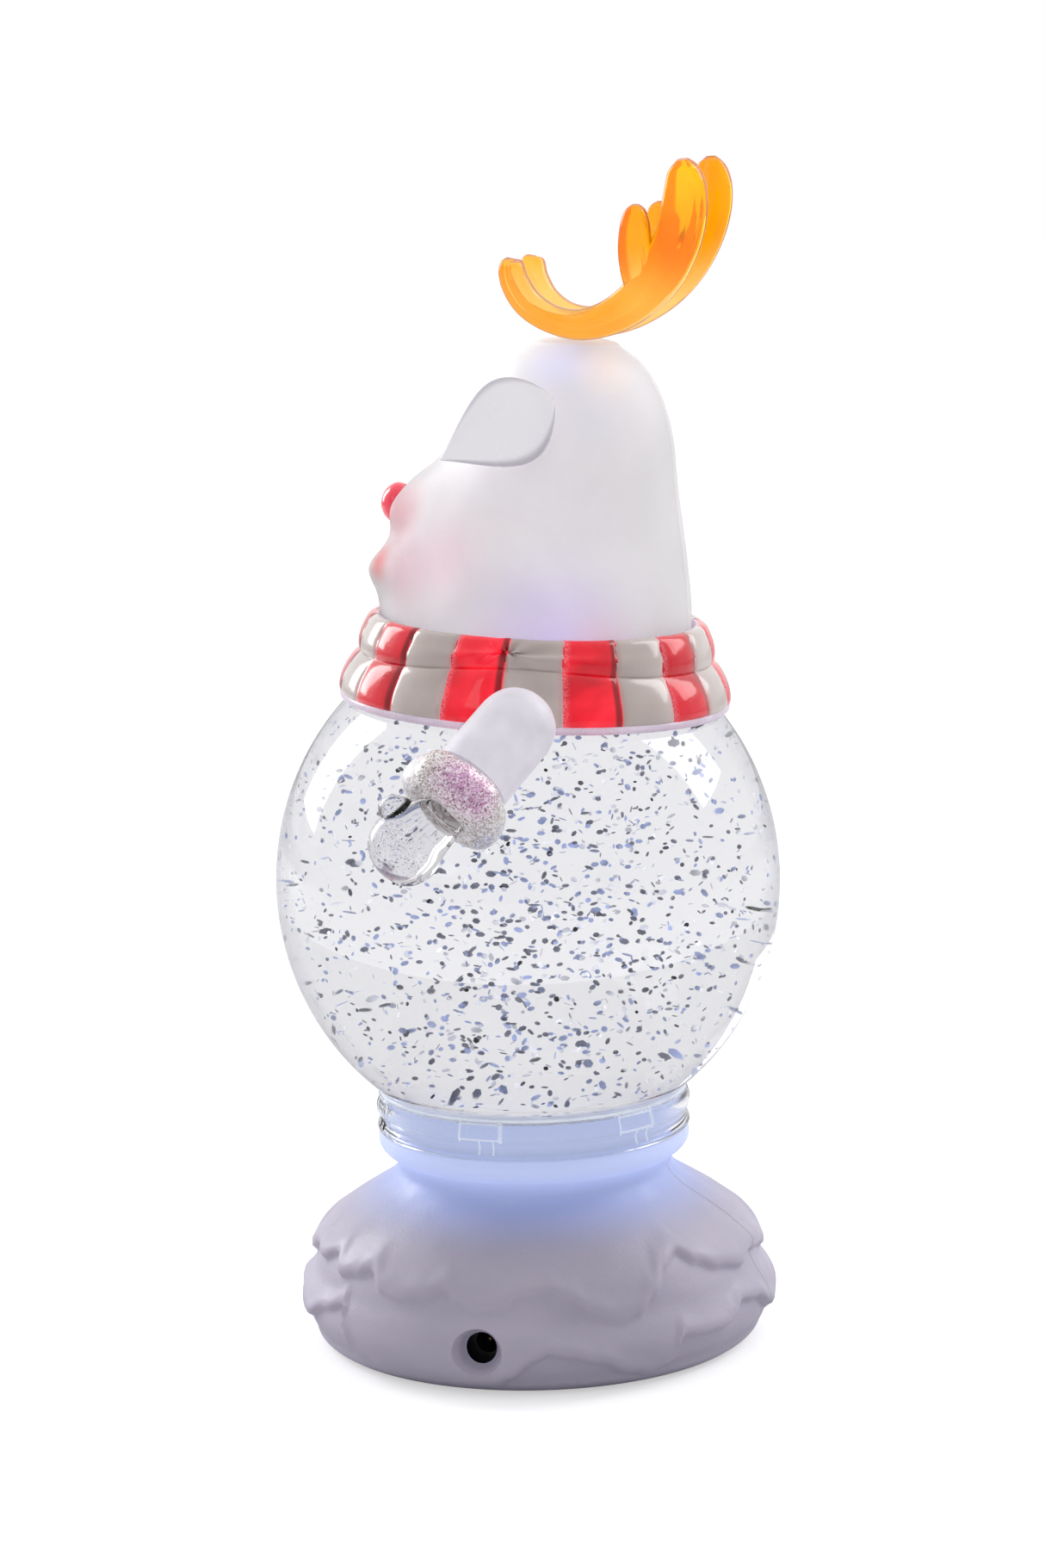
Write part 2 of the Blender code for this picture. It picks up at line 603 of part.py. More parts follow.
def build_collar(finish, parent):
    """The clear ring that hangs below the ball, grooved inside for the bayonet lugs."""
    low, high = COLLAR_Z
    web = GLOBE_NECK_R + GAP
    profile = (
        (web, high), (33.4, high), (COLLAR_R, 54.0), (COLLAR_R + 0.2, 52.2),
        (33.7, 49.4), (COLLAR_R + 0.2, low + 0.6), (COLLAR_R, low),
        (COLLAR_INNER_R, low), (COLLAR_INNER_R, GROOVE_Z[0]), (COLLAR_GROOVE_R, GROOVE_Z[0]),
        (COLLAR_GROOVE_R, GROOVE_Z[1]), (web, GROOVE_Z[1] + 0.2),
    )
    made = finish_object("globe_collar", revolve(profile, 40), finish, parent)
    for i in range(LUG_COUNT):
        turn = 2.0 * math.pi * i / LUG_COUNT + math.radians(LUG_PHASE_DEG - TWIST_DEG)
        channel = ring_block(f"channel_tool_{i}", (31.0, -LUG_WIDTH / 2 - 0.5, low - 1.0),
                             (COLLAR_GROOVE_R, LUG_WIDTH / 2 + 0.5, GROOVE_Z[0] + 0.6), turn, parent)
        combine(made, channel, "DIFFERENCE")


# ---------------------------------------------------------------- figure

def build_scarf(finish, parent):
    """The two-row scarf ring that hides the joint between ball and head."""
    inside = ((40.9, 39.1), (39.4, 41.6), (37.2, 44.6), (35.2, 47.8), (34.0, 50.4), (34.0, 57.6))
    finish_object("scarf_ring", revolve(SCARF_OUTLINE + inside, 28), finish, parent)


def head_point(level, turn, inset):
    """A point of the head's skin; turn runs from the front (0) to the back (pi)."""
    height, front, back, snout = level
    middle = 0.5 * (front + back)
    half = 0.5 * (back - front) - inset
    forward = math.cos(turn)
    bulge = snout * max(0.0, forward) ** 4
    rise = (height - HEAD_LEVELS[0][0]) / (HEAD_TOP[1] - HEAD_LEVELS[0][0])
    return Vector((half * math.sin(turn), middle - half * forward - bulge, height - inset * rise ** 2))


def build_head_half(name, side, finish, parent):
    """One moulded half of the hollow head, split down the middle and open below."""
    builder = bmesh.new()
    steps = 9
    edges = []
    rims = []
    for inset in (0.0, HEAD_WALL):
        rows = []
        for level in HEAD_LEVELS:
            row = []
            for i in range(steps + 1):
                point = head_point(level, math.pi * i / steps, inset)
                row.append(builder.verts.new(Vector((side * (point.x + GAP / 2), point.y, point.z)) * MM))
            rows.append(row)
        crown = Vector((side * GAP / 2, HEAD_TOP[0], HEAD_TOP[1] - inset))
        rows.append([builder.verts.new(crown * MM)])
        grid_faces(builder, rows, wrap=False)
        edges.append([row[0] for row in rows] + [row[-1] for row in reversed(rows[:-1])])
        rims.append(rows[0])
    grid_faces(builder, rims, wrap=False)
    grid_faces(builder, edges, wrap=False)
    finish_object(name, builder, finish, parent)


def build_ear(name, side, finish, parent):
    """A flat leaf beside the head, pointed forwards and down."""
    path = []
    radii = []
    steps = 8
    for i in range(steps + 1):
        part = i / steps
        path.append((0.0, -EAR_LENGTH * (1.0 - part), 0.0))
        half = EAR_HALF * math.sin(math.pi * part ** 1.5) ** 0.72 if 0 < i < steps else 0.0
        radii.append((1.7 if half else 0.0, half))
    ear = finish_object(name, loft(path, radii, 12, (1.0, 0.0, 0.0)), finish, parent)
    ear.location = Vector((side * EAR_AT[0], EAR_AT[1], EAR_AT[2])) * MM
    ear.rotation_euler = (math.radians(33.0), math.radians(-20.0 * side), math.radians(3.0 * side))


def build_nose(finish, parent):
    """A round button nose on the snout."""
    profile = ((0.0, 3.4), (1.9, 3.1), (3.4, 2.2), (4.3, 0.8), (4.3, 0.0), (0.0, 0.0))
    nose = turned("nose", profile, 20, finish, parent, at=(0.0, -32.6, 80.4))
    nose.rotation_euler.x = math.radians(90.0)


def build_antler(name, side, finish, parent):
    """A curved antler: forward prong, main beam and one tine, spreading outwards."""
    def at(y, z):
        return (side * (5.6 + 0.19 * (z - 118.0)), y, z)

    beam = ((-6.4, 134.6), (-6.4, 133.6), (-5.6, 129.6), (-2.6, 125.2), (2.6, 122.4), (9.0, 121.9),
            (16.0, 124.0), (22.4, 128.6), (27.2, 134.8), (30.4, 142.4), (31.4, 149.4), (31.0, 155.0),
            (30.8, 157.6))
    beam_half = (0.0, 2.4, 3.0, 3.1, 3.0, 3.2, 3.9, 4.6, 5.0, 5.0, 4.7, 3.0, 0.0)
    tine = ((21.6, 130.0), (21.2, 133.0), (20.6, 138.0), (20.6, 143.0), (20.7, 146.0), (20.7, 147.4))
    tine_half = (0.0, 3.6, 3.6, 3.0, 2.1, 0.0)
    thick = 2.6
    path = [at(y, z) for y, z in beam]
    radii = [(min(thick, half), half) for half in beam_half]
    made = finish_object(name, loft(path, radii, 10, (1.0, 0.0, 0.0)), finish, parent)
    path = [at(y, z) for y, z in tine]
    radii = [(min(thick - 0.3, half), half) for half in tine_half]
    branch = cutter(f"{name}_tine_tool", loft(path, radii, 10, (1.0, 0.0, 0.0)), parent)
    combine(made, branch, "UNION")


def mirrored(point, side):
    """A point of the left side, or its mirror image on the right."""
    return Vector((side * point[0], point[1], point[2]))


def build_arm(label, side, paint, parent):
    """Sleeve, cuff and clear hand on one side of the figure."""
    shoulder = mirrored(SHOULDER, side)
    cuff = mirrored(CUFF, side)
    along = (cuff - shoulder).normalized()
    end = (cuff - shoulder).length - 6.0
    marks = (-8.0, -7.2, -4.0, 0.0, end)
    radii = (0.0, 3.4, 6.8, SHOULDER_R, SLEEVE_R)
    sleeve = loft([shoulder + along * mark for mark in marks], [(r, r) for r in radii], 16, (0.0, 0.0, 1.0))
    bmesh.ops.holes_fill(sleeve, edges=[e for e in sleeve.edges if e.is_boundary])
    sleeve = finish_object(f"sleeve_{label}", sleeve, paint["frosted_plastic"], parent)
    outline = [(radius + 2.0 * GAP, height) for radius, height in SCARF_OUTLINE]
    outline = [(0.0, outline[0][1] + 1.0)] + outline + [(0.0, outline[-1][1])]
    combine(sleeve, cutter(f"sleeve_tool_{label}", revolve(outline, 28), parent), "DIFFERENCE")
    profile = ((4.4, 4.2), (8.0, 4.9), (10.6, 3.4), (CUFF_R, 0.0), (10.6, -3.4), (8.0, -4.9), (4.4, -4.2))
    ring = turned(f"cuff_{label}", profile, 16, paint["glitter_coat"], parent)
    ring.rotation_euler = along.to_track_quat("Z", "Y").to_euler()
    ring.location = cuff * MM
    build_hand(label, side, cuff, along, paint["clear_plastic"], parent)


def build_hand(label, side, cuff, along, finish, parent):
    """A solid mitten whose stub enters the cuff, with its thumb."""
    path = [cuff - along, cuff + along * 5.6] + [mirrored(point, side) for point in PALM]
    halves = ((WRIST_R - 0.2, WRIST_R - 0.2), (WRIST_R, WRIST_R)) + PALM_HALF
    palm = loft(path, halves, 14, (0.2 * side, 0.6, -0.77))
    bmesh.ops.holes_fill(palm, edges=[e for e in palm.edges if e.is_boundary])
    hand = finish_object(f"hand_{label}", palm, finish, parent)
    path = [mirrored(point, side) for point in THUMB]
    thumb = loft(path, [(r, r) for r in THUMB_HALF], 10, (0.0, 0.0, 1.0))
    combine(hand, cutter(f"thumb_tool_{label}", thumb, parent), "UNION")


def build_figure(paint, globe_pivot):
    """Everything that leans with the reindeer."""
    figure = pivot("figure_frame", (0.0, 0.0, GLOBE_Z), globe_pivot)
    figure.rotation_euler.x = -math.radians(LEAN_DEG)
    build_scarf(paint["scarf_plastic"], figure)
    build_nose(paint["nose_plastic"], figure)
    for label, side in (("left", 1.0), ("right", -1.0)):
        build_head_half(f"head_{label}", side, paint["frosted_plastic"], figure)
        build_ear(f"ear_{label}", side, paint["ear_plastic"], figure)
        build_antler(f"antler_{label}", side, paint["amber_plastic"], figure)
        build_arm(label, side, paint, figure)


def main():
    """Build the whole lamp."""
    clear_scene()
    paint = build_materials()
    globe_pivot = pivot("globe_pivot")
    drive_pivot = pivot("drive_pivot")
    impeller_pivot = pivot("impeller_pivot", parent=globe_pivot)
    door_pivot = pivot("door_pivot", (0.0, DOOR_Y[1], COVER_Z[0]))
    switch_pivot = pivot("switch_pivot", (SWITCH_X, SWITCH_Y - 2.0, 1.6))
    build_base_shell(paint["snow_plastic"])
    build_bottom_cover(paint["cover_plastic"])
    build_base_details(paint)
    build_batteries(paint)
    build_door(paint, door_pivot)
    build_switch_knob(paint, switch_pivot)
    build_drive(paint, drive_pivot)
    build_light(paint)
    build_globe_shell(paint["clear_plastic"], globe_pivot)
    build_liquid(paint["liquid"], globe_pivot)
    build_plug(paint, globe_pivot)
    build_impeller(paint, impeller_pivot)
    build_collar(paint["clear_plastic"], globe_pivot)
    build_figure(paint, globe_pivot)


main()
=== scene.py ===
"""Looks of the glitter water-globe lamp with a reindeer figure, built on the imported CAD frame."""

import math
import random

import bmesh
import bpy
import numpy as np
from mathutils import Matrix, Vector


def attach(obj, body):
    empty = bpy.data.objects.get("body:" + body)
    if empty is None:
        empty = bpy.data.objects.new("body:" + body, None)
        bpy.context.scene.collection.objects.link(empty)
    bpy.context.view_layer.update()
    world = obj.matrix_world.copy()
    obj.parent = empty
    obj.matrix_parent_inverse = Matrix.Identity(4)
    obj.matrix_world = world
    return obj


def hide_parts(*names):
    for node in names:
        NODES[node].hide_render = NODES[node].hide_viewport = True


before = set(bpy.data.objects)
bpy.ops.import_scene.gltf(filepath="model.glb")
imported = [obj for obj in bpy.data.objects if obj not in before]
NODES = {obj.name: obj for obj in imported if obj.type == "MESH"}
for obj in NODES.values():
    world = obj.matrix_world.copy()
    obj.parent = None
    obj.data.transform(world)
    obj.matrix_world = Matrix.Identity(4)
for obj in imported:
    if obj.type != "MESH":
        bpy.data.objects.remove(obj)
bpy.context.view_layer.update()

MM = 0.001
GLOBE_Z = 101.7
GLOBE_R = 55.0
GLOBE_H = 57.3
WALL = 2.2
NECK_R = 29.6
LEAN_DEG = 3.6
HEAD_WALL = 1.6
SIDES = (("left", 1.0), ("right", -1.0))
FIGURE = Matrix.Translation((0.0, 0.0, GLOBE_Z * MM)) @ Matrix.Rotation(-math.radians(LEAN_DEG), 4, "X")


# ---------------------------------------------------------------- shapes

def smooth_line(points, steps):
    """A Catmull-Rom line through points of any dimension, keeping its ends."""
    points = [np.array(point, dtype=float) for point in points]
    made = []
    for i in range(len(points) - 1):
        a = points[max(i - 1, 0)]
        b, c = points[i], points[i + 1]
        d = points[min(i + 2, len(points) - 1)]
        for k in range(steps):
            t = k / steps
            made.append(tuple(0.5 * (2.0 * b + (c - a) * t + (2.0 * a - 5.0 * b + 4.0 * c - d) * t * t
                                     + (3.0 * b - a - 3.0 * c + d) * t ** 3)))
    made.append(tuple(points[-1]))
    return made


def smoothstep(value, low, high):
    """0 below low, 1 above high, eased between them."""
    t = min(1.0, max(0.0, (value - low) / (high - low)))
    return t * t * (3.0 - 2.0 * t)


def bell(distance):
    """A bump of height 1 that has died away at distance 2."""
    return math.exp(-distance * distance)


def mirrored(point, side):
    """A point of the left side, or its mirror image on the right."""
    return Vector((side * point[0], point[1], point[2]))


def on_figure(point, side=1.0):
    """Where a point of the leaning figure is on the upright lamp, in mm."""
    return FIGURE @ (mirrored(point, side) * MM) / MM


def shifted(point):
    """A move by an amount in mm."""
    return Matrix.Translation(Vector(point) * MM)


def turned(degrees, axis):
    """A turn about an axis."""
    return Matrix.Rotation(math.radians(degrees), 4, axis)


def skin(rows, loop=False):
    """Vertices and faces between rows of points; a row of one point closes as a fan."""
    points = []
    index = []
    for row in rows:
        index.append(list(range(len(points), len(points) + len(row))))
        points.extend(tuple(point) for point in row)
    if loop:
        index.append(index[0])
    faces = []
    for lower, upper in zip(index, index[1:]):
        count = max(len(lower), len(upper))
        for i in range(count):
            j = (i + 1) % count
            corners = (lower[i % len(lower)], lower[j % len(lower)],
                       upper[j % len(upper)], upper[i % len(upper)])
            face = tuple(dict.fromkeys(corners))
            if len(face) > 2:
                faces.append(face)
    return points, faces


def lathe(profile, count, shape=None):
    """A body of revolution from a closed (radius, height) outline in mm."""
    rows = []
    for k, (radius, height) in enumerate(profile):
        if radius < 1e-6:
            rows.append([(0.0, 0.0, height)])
            continue
        row = []
        for i in range(count):
            turn = 2.0 * math.pi * i / count
            r, z = shape(k, radius, turn, height) if shape else (radius, height)
            row.append((r * math.cos(turn), r * math.sin(turn), z))
        rows.append(row)
    return skin(rows, loop=len(rows[0]) > 1)


def tube(path, halves, sides, across, section=None):
    """A closed limb along a path of points, its half sizes across and in plane given at each."""
    points = [Vector(point) for point in path]
    last = len(points) - 1
    rows = []
    for k, point in enumerate(points):
        along = (points[min(k + 1, last)] - points[max(k - 1, 0)]).normalized()
        first = (Vector(across) - along * along.dot(Vector(across))).normalized()
        second = along.cross(first)
        half_a, half_b = halves[k]
        if half_a < 1e-6:
            rows.append([point])
            continue
        row = []
        for i in range(sides):
            turn = 2.0 * math.pi * i / sides
            swell = section(turn, k / last) if section else 1.0
            row.append(point + (first * (half_a * math.cos(turn))
                                + second * (half_b * math.sin(turn))) * swell)
        rows.append(row)
    return skin(rows)


def add_object(name, data):
    """A new object in the scene."""
    made = bpy.data.objects.new(name, data)
    bpy.context.scene.collection.objects.link(made)
    return made


def make_mesh(name, shape, place=Matrix()):
    """A mesh from points in mm, with its faces turned outwards."""
    points, faces = shape
    mesh = bpy.data.meshes.new(name)
    mesh.from_pydata([Vector(point) * MM for point in points], [], faces)
    mesh.transform(place)
    builder = bmesh.new()
    builder.from_mesh(mesh)
    bmesh.ops.recalc_face_normals(builder, faces=builder.faces[:])
    builder.to_mesh(mesh)
    builder.free()
    return mesh


def build(name, shape, paints, body, node, place=Matrix(), face_paint=None, sharp_deg=40.0):
    """A named piece from points in mm, riding a body and standing for a CAD node."""
    mesh = make_mesh(name, shape, place)
    for paint in paints:
        mesh.materials.append(paint.material)
    if face_paint is not None:
        mesh.polygons.foreach_set("material_index", face_paint)
    mesh.shade_smooth()
    mesh.set_sharp_from_angle(angle=math.radians(sharp_deg))
    made = add_object(name, mesh)
    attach(made, body)
    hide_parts(node)
    return made


def carve(target, name, shape, place, operation):
    """Cut a shape out of a piece, or join it on, as a Boolean step."""
    tool = add_object(name, make_mesh(name, shape, place))
    tool.hide_render = True
    step = target.modifiers.new(name, "BOOLEAN")
    step.object = tool
    step.operation = operation
    step.solver = "EXACT"


def bake(made):
    """Turn a piece's Boolean steps into its mesh and remove their tools."""
    graph = bpy.context.evaluated_depsgraph_get()
    mesh = bpy.data.meshes.new_from_object(made.evaluated_get(graph))
    tools = [step.object for step in made.modifiers]
    made.modifiers.clear()
    old = made.data
    made.data = mesh
    bpy.data.meshes.remove(old)
    for tool in tools:
        bpy.data.objects.remove(tool)


# ---------------------------------------------------------------- materials

def tone(colour, factor):
    """A darker or lighter version of a colour."""
    return tuple(min(1.0, part * factor) for part in colour)


class Paint:
    """A Principled material with the nodes that vary it over the surface."""

    def __init__(self, name, colour, roughness, **sockets):
        self.material = bpy.data.materials.new(name)
        self.material.use_nodes = True
        self.tree = self.material.node_tree
        self.shader = self.tree.nodes["Principled BSDF"]
        self.place = self.tree.nodes.new("ShaderNodeTexCoord").outputs["Object"]
        self.shader.inputs["Base Color"].default_value = (*colour, 1.0)
        self.shader.inputs["Roughness"].default_value = roughness
        for socket, value in sockets.items():
            self.shader.inputs[socket.replace("_", " ")].default_value = value

    def node(self, kind, **settings):
        """A node with its settings."""
        made = self.tree.nodes.new(kind)
        for key, value in settings.items():
            setattr(made, key, value)
        return made

    def link(self, source, target):
        """Join two sockets."""
        self.tree.links.new(source, target)

    def feed(self, socket, value):
        """Give a socket a number, a colour or another socket's value."""
        if isinstance(value, tuple):
            socket.default_value = (*value, 1.0)
        elif isinstance(value, float):
            socket.default_value = value
        else:
            self.link(value, socket)

    def noise(self, scale, detail=3.0, stretch=(1.0, 1.0, 1.0), distortion=0.0):
        """Noise over the piece; scale is in features per metre."""
        spread = self.node("ShaderNodeMapping")
        spread.inputs["Scale"].default_value = stretch
        self.link(self.place, spread.inputs["Vector"])
        made = self.node("ShaderNodeTexNoise")
        made.inputs["Scale"].default_value = scale
        made.inputs["Detail"].default_value = detail
        made.inputs["Distortion"].default_value = distortion
        self.link(spread.outputs["Vector"], made.inputs["Vector"])
        return made.outputs["Fac"]

    def cells(self, scale, output="Distance", feature="F1"):
        """Voronoi cells over the piece."""
        made = self.node("ShaderNodeTexVoronoi", feature=feature)
        made.inputs["Scale"].default_value = scale
        self.link(self.place, made.inputs["Vector"])
        return made.outputs[output]

    def spread(self, value, low, high, to_low=0.0, to_high=1.0):
        """A value eased from one range to another."""
        made = self.node("ShaderNodeMapRange", interpolation_type="SMOOTHSTEP")
        for socket, number in zip(("From Min", "From Max", "To Min", "To Max"),
                                  (low, high, to_low, to_high)):
            made.inputs[socket].default_value = number
        self.link(value, made.inputs["Value"])
        return made.outputs["Result"]

    def axis(self, name):
        """One coordinate of the surface, in metres."""
        made = self.node("ShaderNodeSeparateXYZ")
        self.link(self.place, made.inputs["Vector"])
        return made.outputs[name]

    def near(self, centre, reach):
        """1 at a place in mm, falling to 0 at a reach in mm from it."""
        made = self.node("ShaderNodeVectorMath", operation="DISTANCE")
        self.link(self.place, made.inputs[0])
        made.inputs[1].default_value = Vector(centre) * MM
        return self.spread(made.outputs["Value"], 0.0, reach * MM, 1.0, 0.0)

    def maths(self, operation, first, second):
        """Arithmetic on two values or sockets."""
        made = self.node("ShaderNodeMath", operation=operation)
        self.feed(made.inputs[0], first)
        self.feed(made.inputs[1], second)
        return made.outputs["Value"]

    def times(self, first, second):
        """The product of two values or sockets."""
        return self.maths("MULTIPLY", first, second)

    def ramp(self, value, stops):
        """A colour from a value by (position, colour) stops."""
        made = self.node("ShaderNodeValToRGB")
        bands = made.color_ramp.elements
        while len(bands) < len(stops):
            bands.new(0.5)
        for band, (position, colour) in zip(bands, stops):
            band.position = position
            band.color = (*colour, 1.0)
        self.link(value, made.inputs["Fac"])
        return made.outputs["Color"]

    def mix(self, factor, first, second):
        """A blend of two colours or sockets."""
        made = self.node("ShaderNodeMix", data_type="RGBA")
        self.link(factor, made.inputs[0])
        self.feed(made.inputs[6], first)
        self.feed(made.inputs[7], second)
        return made.outputs[2]

    def attribute(self, name):
        """A number kept on the mesh's points."""
        return self.node("ShaderNodeAttribute", attribute_name=name).outputs["Fac"]

    def facing(self):
        """0 where clear plastic is seen square on, 1 where it is seen through its edge."""
        return self.node("ShaderNodeLayerWeight").outputs["Facing"]

    def colour(self, source):
        """Drive the base colour."""
        self.link(source, self.shader.inputs["Base Color"])

    def glow(self, source, colour):
        """Light given off in a colour, as strong as a value."""
        self.feed(self.shader.inputs["Emission Color"], colour)
        self.link(source, self.shader.inputs["Emission Strength"])

    def gloss(self, value, low, high):
        """Roughness between two amounts by a value."""
        self.link(self.spread(value, 0.3, 0.7, low, high), self.shader.inputs["Roughness"])

    def relief(self, height, distance, strength=1.0):
        """Fine relief; distance is its depth in metres."""
        made = self.node("ShaderNodeBump")
        made.inputs["Distance"].default_value = distance
        made.inputs["Strength"].default_value = strength
        self.link(height, made.inputs["Height"])
        previous = self.shader.inputs["Normal"]
        if previous.is_linked:
            self.link(previous.links[0].from_socket, made.inputs["Normal"])
        self.link(made.outputs["Normal"], previous)


def snow_paint():
    """White moulded plastic, lilac in shade, with the lamp's blue glow at the neck."""
    made = Paint("snow_plastic", (0.6, 0.56, 0.65), 0.45, Subsurface_Weight=0.12, Subsurface_Scale=0.004)
    patches = made.ramp(made.noise(38.0), ((0.3, (0.45, 0.42, 0.53)), (0.7, (0.52, 0.48, 0.6))))
    height = made.axis("Z")
    low_glow = made.spread(height, 0.028, 0.038)
    # Painted glow: the base colour turns blue low on the neck, and dark under the glowing ring at the top.
    glow_tinted = made.mix(low_glow, patches, (0.4, 0.45, 0.7))
    glow_tinted = made.mix(made.spread(height, 0.0465, 0.048), glow_tinted, (0.12, 0.14, 0.2))
    specks = made.spread(made.cells(210.0), 0.022, 0.03)
    dusty = made.mix(specks, (0.3, 0.28, 0.3), glow_tinted)
    seam = seam_line(made)
    made.colour(made.mix(seam, dusty, (0.45, 0.42, 0.48)))
    # Painted glow: a bright ring of light just under the collar and a faint blue glow lower on the neck,
    # though the shell is no lamp.
    ring_glow = made.times(made.spread(height, 0.036, 0.043, 0.0, 0.3),
                           made.spread(height, 0.046, 0.05, 1.0, 1.6))
    made.glow(made.maths("ADD", made.times(low_glow, 0.14), ring_glow),
              made.mix(made.spread(height, 0.035, 0.043), (0.3, 0.42, 1.0), (0.58, 0.67, 1.0)))
    made.gloss(made.noise(160.0), 0.36, 0.52)
    made.relief(made.noise(1400.0, 2.0), 0.00006)
    made.relief(made.noise(120.0, 2.0), 0.0003, 0.5)
    made.relief(seam, -0.0003)
    return made


def seam_line(made):
    """1 on the mould's parting line, which runs up the back in the plane x = 0."""
    off = made.maths("ABSOLUTE", made.axis("X"), 0.0)
    line = made.spread(off, 0.00012, 0.0003, 1.0, 0.0)
    behind = made.spread(made.axis("Y"), 0.0, 0.001)
    return made.times(line, behind)


def clear_paint(name, ior, tint, roughness, rim):
    """Clear acrylic with a faint flow in it, and a painted shade that greys its colour towards its
    silhouette.
    """
    made = Paint(name, tint, roughness, IOR=ior, Transmission_Weight=1.0)
    made.relief(made.noise(30.0, 1.0, (1.0, 1.0, 0.35)), 0.00025, 0.25)
    made.gloss(made.noise(220.0, 2.0), roughness, roughness + 0.03)
    # Painted shade: the colour turns to the rim colour, and darker still, where the plastic is seen edge on.
    made.colour(made.ramp(made.facing(), ((0.0, tint), (0.62, tint), (0.86, rim), (1.0, tone(rim, 0.8)))))
    return made


HEAD_TINTS_LIGHT_AND_SHADE = (                 # place in the figure's frame (mm), reach (mm), colour and weight
    # Pink and red about the nose, mouth and cheeks: the face's colours seen through the shell.
    ((14.0, -30.0, 80.0), 12.0, (0.9, 0.42, 0.5, 0.7)),
    ((22.0, -26.0, 69.0), 13.0, (0.88, 0.55, 0.64, 0.6)),
    ((13.0, -32.0, 69.0), 6.0, (0.95, 0.16, 0.16, 0.9)),
    ((26.0, -14.0, 72.0), 15.0, (0.9, 0.7, 0.78, 0.6)),
    # Lilac low on the sides: painted glow of the lamp's light.
    ((28.0, 10.0, 58.0), 22.0, (0.74, 0.66, 0.9, 0.8)),
    ((30.0, 26.0, 56.0), 14.0, (0.95, 0.6, 0.7, 0.6)),
    # Blue spot on the crown: a painted light spot.
    ((14.0, 6.0, 116.0), 12.0, (0.78, 0.78, 1.0, 0.7)),
    # Grey patch behind the ear root: painted shade.
    ((22.0, 16.0, 104.0), 12.0, (0.8, 0.79, 0.84, 0.8)),
    ((12.0, 17.0, 114.0), 10.0, (0.98, 0.85, 0.8, 0.7)),
)


def head_paint():
    """Frosted translucent plastic with the face's colours seen through it, painted patches of light and
    shade, and a painted glow.
    """
    made = Paint("frosted_plastic", (0.9, 0.89, 0.93), 0.5, Transmission_Weight=0.5, IOR=1.45)
    base = made.ramp(made.noise(22.0), ((0.35, (0.78, 0.76, 0.78)), (0.65, (0.85, 0.84, 0.85))))
    for centre, reach, tint in HEAD_TINTS_LIGHT_AND_SHADE:
        for _, side in SIDES:
            spot = made.near(on_figure(centre, side), reach)
            base = made.mix(made.times(spot, tint[3]), base, tint[:3])
    made.colour(base)
    # Painted glow: the head gives off light in its own colour, mottled, weaker towards the back and at the
    # snout, though it is no lamp.
    back = made.spread(made.axis("Y"), 0.014, 0.042, 1.0, 0.45)
    front = made.spread(made.axis("Y"), -0.03, -0.004, 0.05, 1.0)
    glow_mottle = made.spread(made.noise(45.0, 4.0, distortion=0.8), 0.3, 0.7, 0.17, 0.22)
    made.glow(made.times(glow_mottle, made.times(back, front)), base)
    made.gloss(made.noise(90.0), 0.42, 0.58)
    made.relief(made.noise(2200.0, 2.0), 0.00004)
    made.relief(made.noise(70.0, 1.0), 0.0003, 0.4)
    return made


def ear_paint():
    """Denser frosted plastic with a painted glow, and a painted shade that darkens it towards the moulded
    edge, where the glow is weaker.
    """
    made = Paint("ear_plastic", (0.76, 0.73, 0.79), 0.35, Coat_Weight=0.2, Coat_Roughness=0.3)
    rim = made.attribute("rim")
    base = made.ramp(made.noise(50.0, 1.0), ((0.3, (0.7, 0.68, 0.73)), (0.7, (0.78, 0.76, 0.79))))
    # Painted shade towards the edge, and a painted glow that fades there.
    made.colour(made.mix(made.spread(rim, 0.8, 1.0), base, (0.5, 0.47, 0.54)))
    made.glow(made.spread(rim, 0.75, 1.0, 0.27, 0.1), (0.97, 0.96, 1.0))
    made.gloss(made.noise(110.0), 0.24, 0.38)
    made.relief(made.noise(1500.0, 2.0), 0.00003)
    return made


def amber_paint():
    """Clear amber plastic, redder where it is thick, with a painted dark red shade towards its silhouette and
    a painted orange glow.
    """
    made = Paint("amber_plastic", (1.0, 0.38, 0.01), 0.06, Transmission_Weight=0.85, IOR=1.45,
                 Specular_IOR_Level=0.2)
    streaks = made.noise(60.0, 3.0, (1.0, 0.5, 0.5), 0.6)
    deep = made.ramp(streaks, ((0.3, (1.0, 0.32, 0.002)), (0.5, (1.0, 0.46, 0.003)),
                               (0.7, (1.0, 0.66, 0.01))))
    thin = made.ramp(streaks, ((0.3, (1.0, 0.6, 0.12)), (0.7, (1.0, 0.78, 0.3))))
    inner = made.mix(made.spread(made.axis("Z"), 0.226, 0.24), thin, deep)
    # Painted shade: dark red where the antler is seen edge on.
    made.colour(made.mix(made.spread(made.facing(), 0.3, 0.8), inner, (0.34, 0.025, 0.0)))
    # Painted glow: orange light given off, though the antler is no lamp.
    made.glow(made.spread(streaks, 0.3, 0.7, 0.05, 0.14), (1.0, 0.34, 0.0))
    made.relief(made.noise(180.0, 2.0), 0.00015, 0.5)
    made.gloss(made.noise(260.0), 0.04, 0.12)
    return made


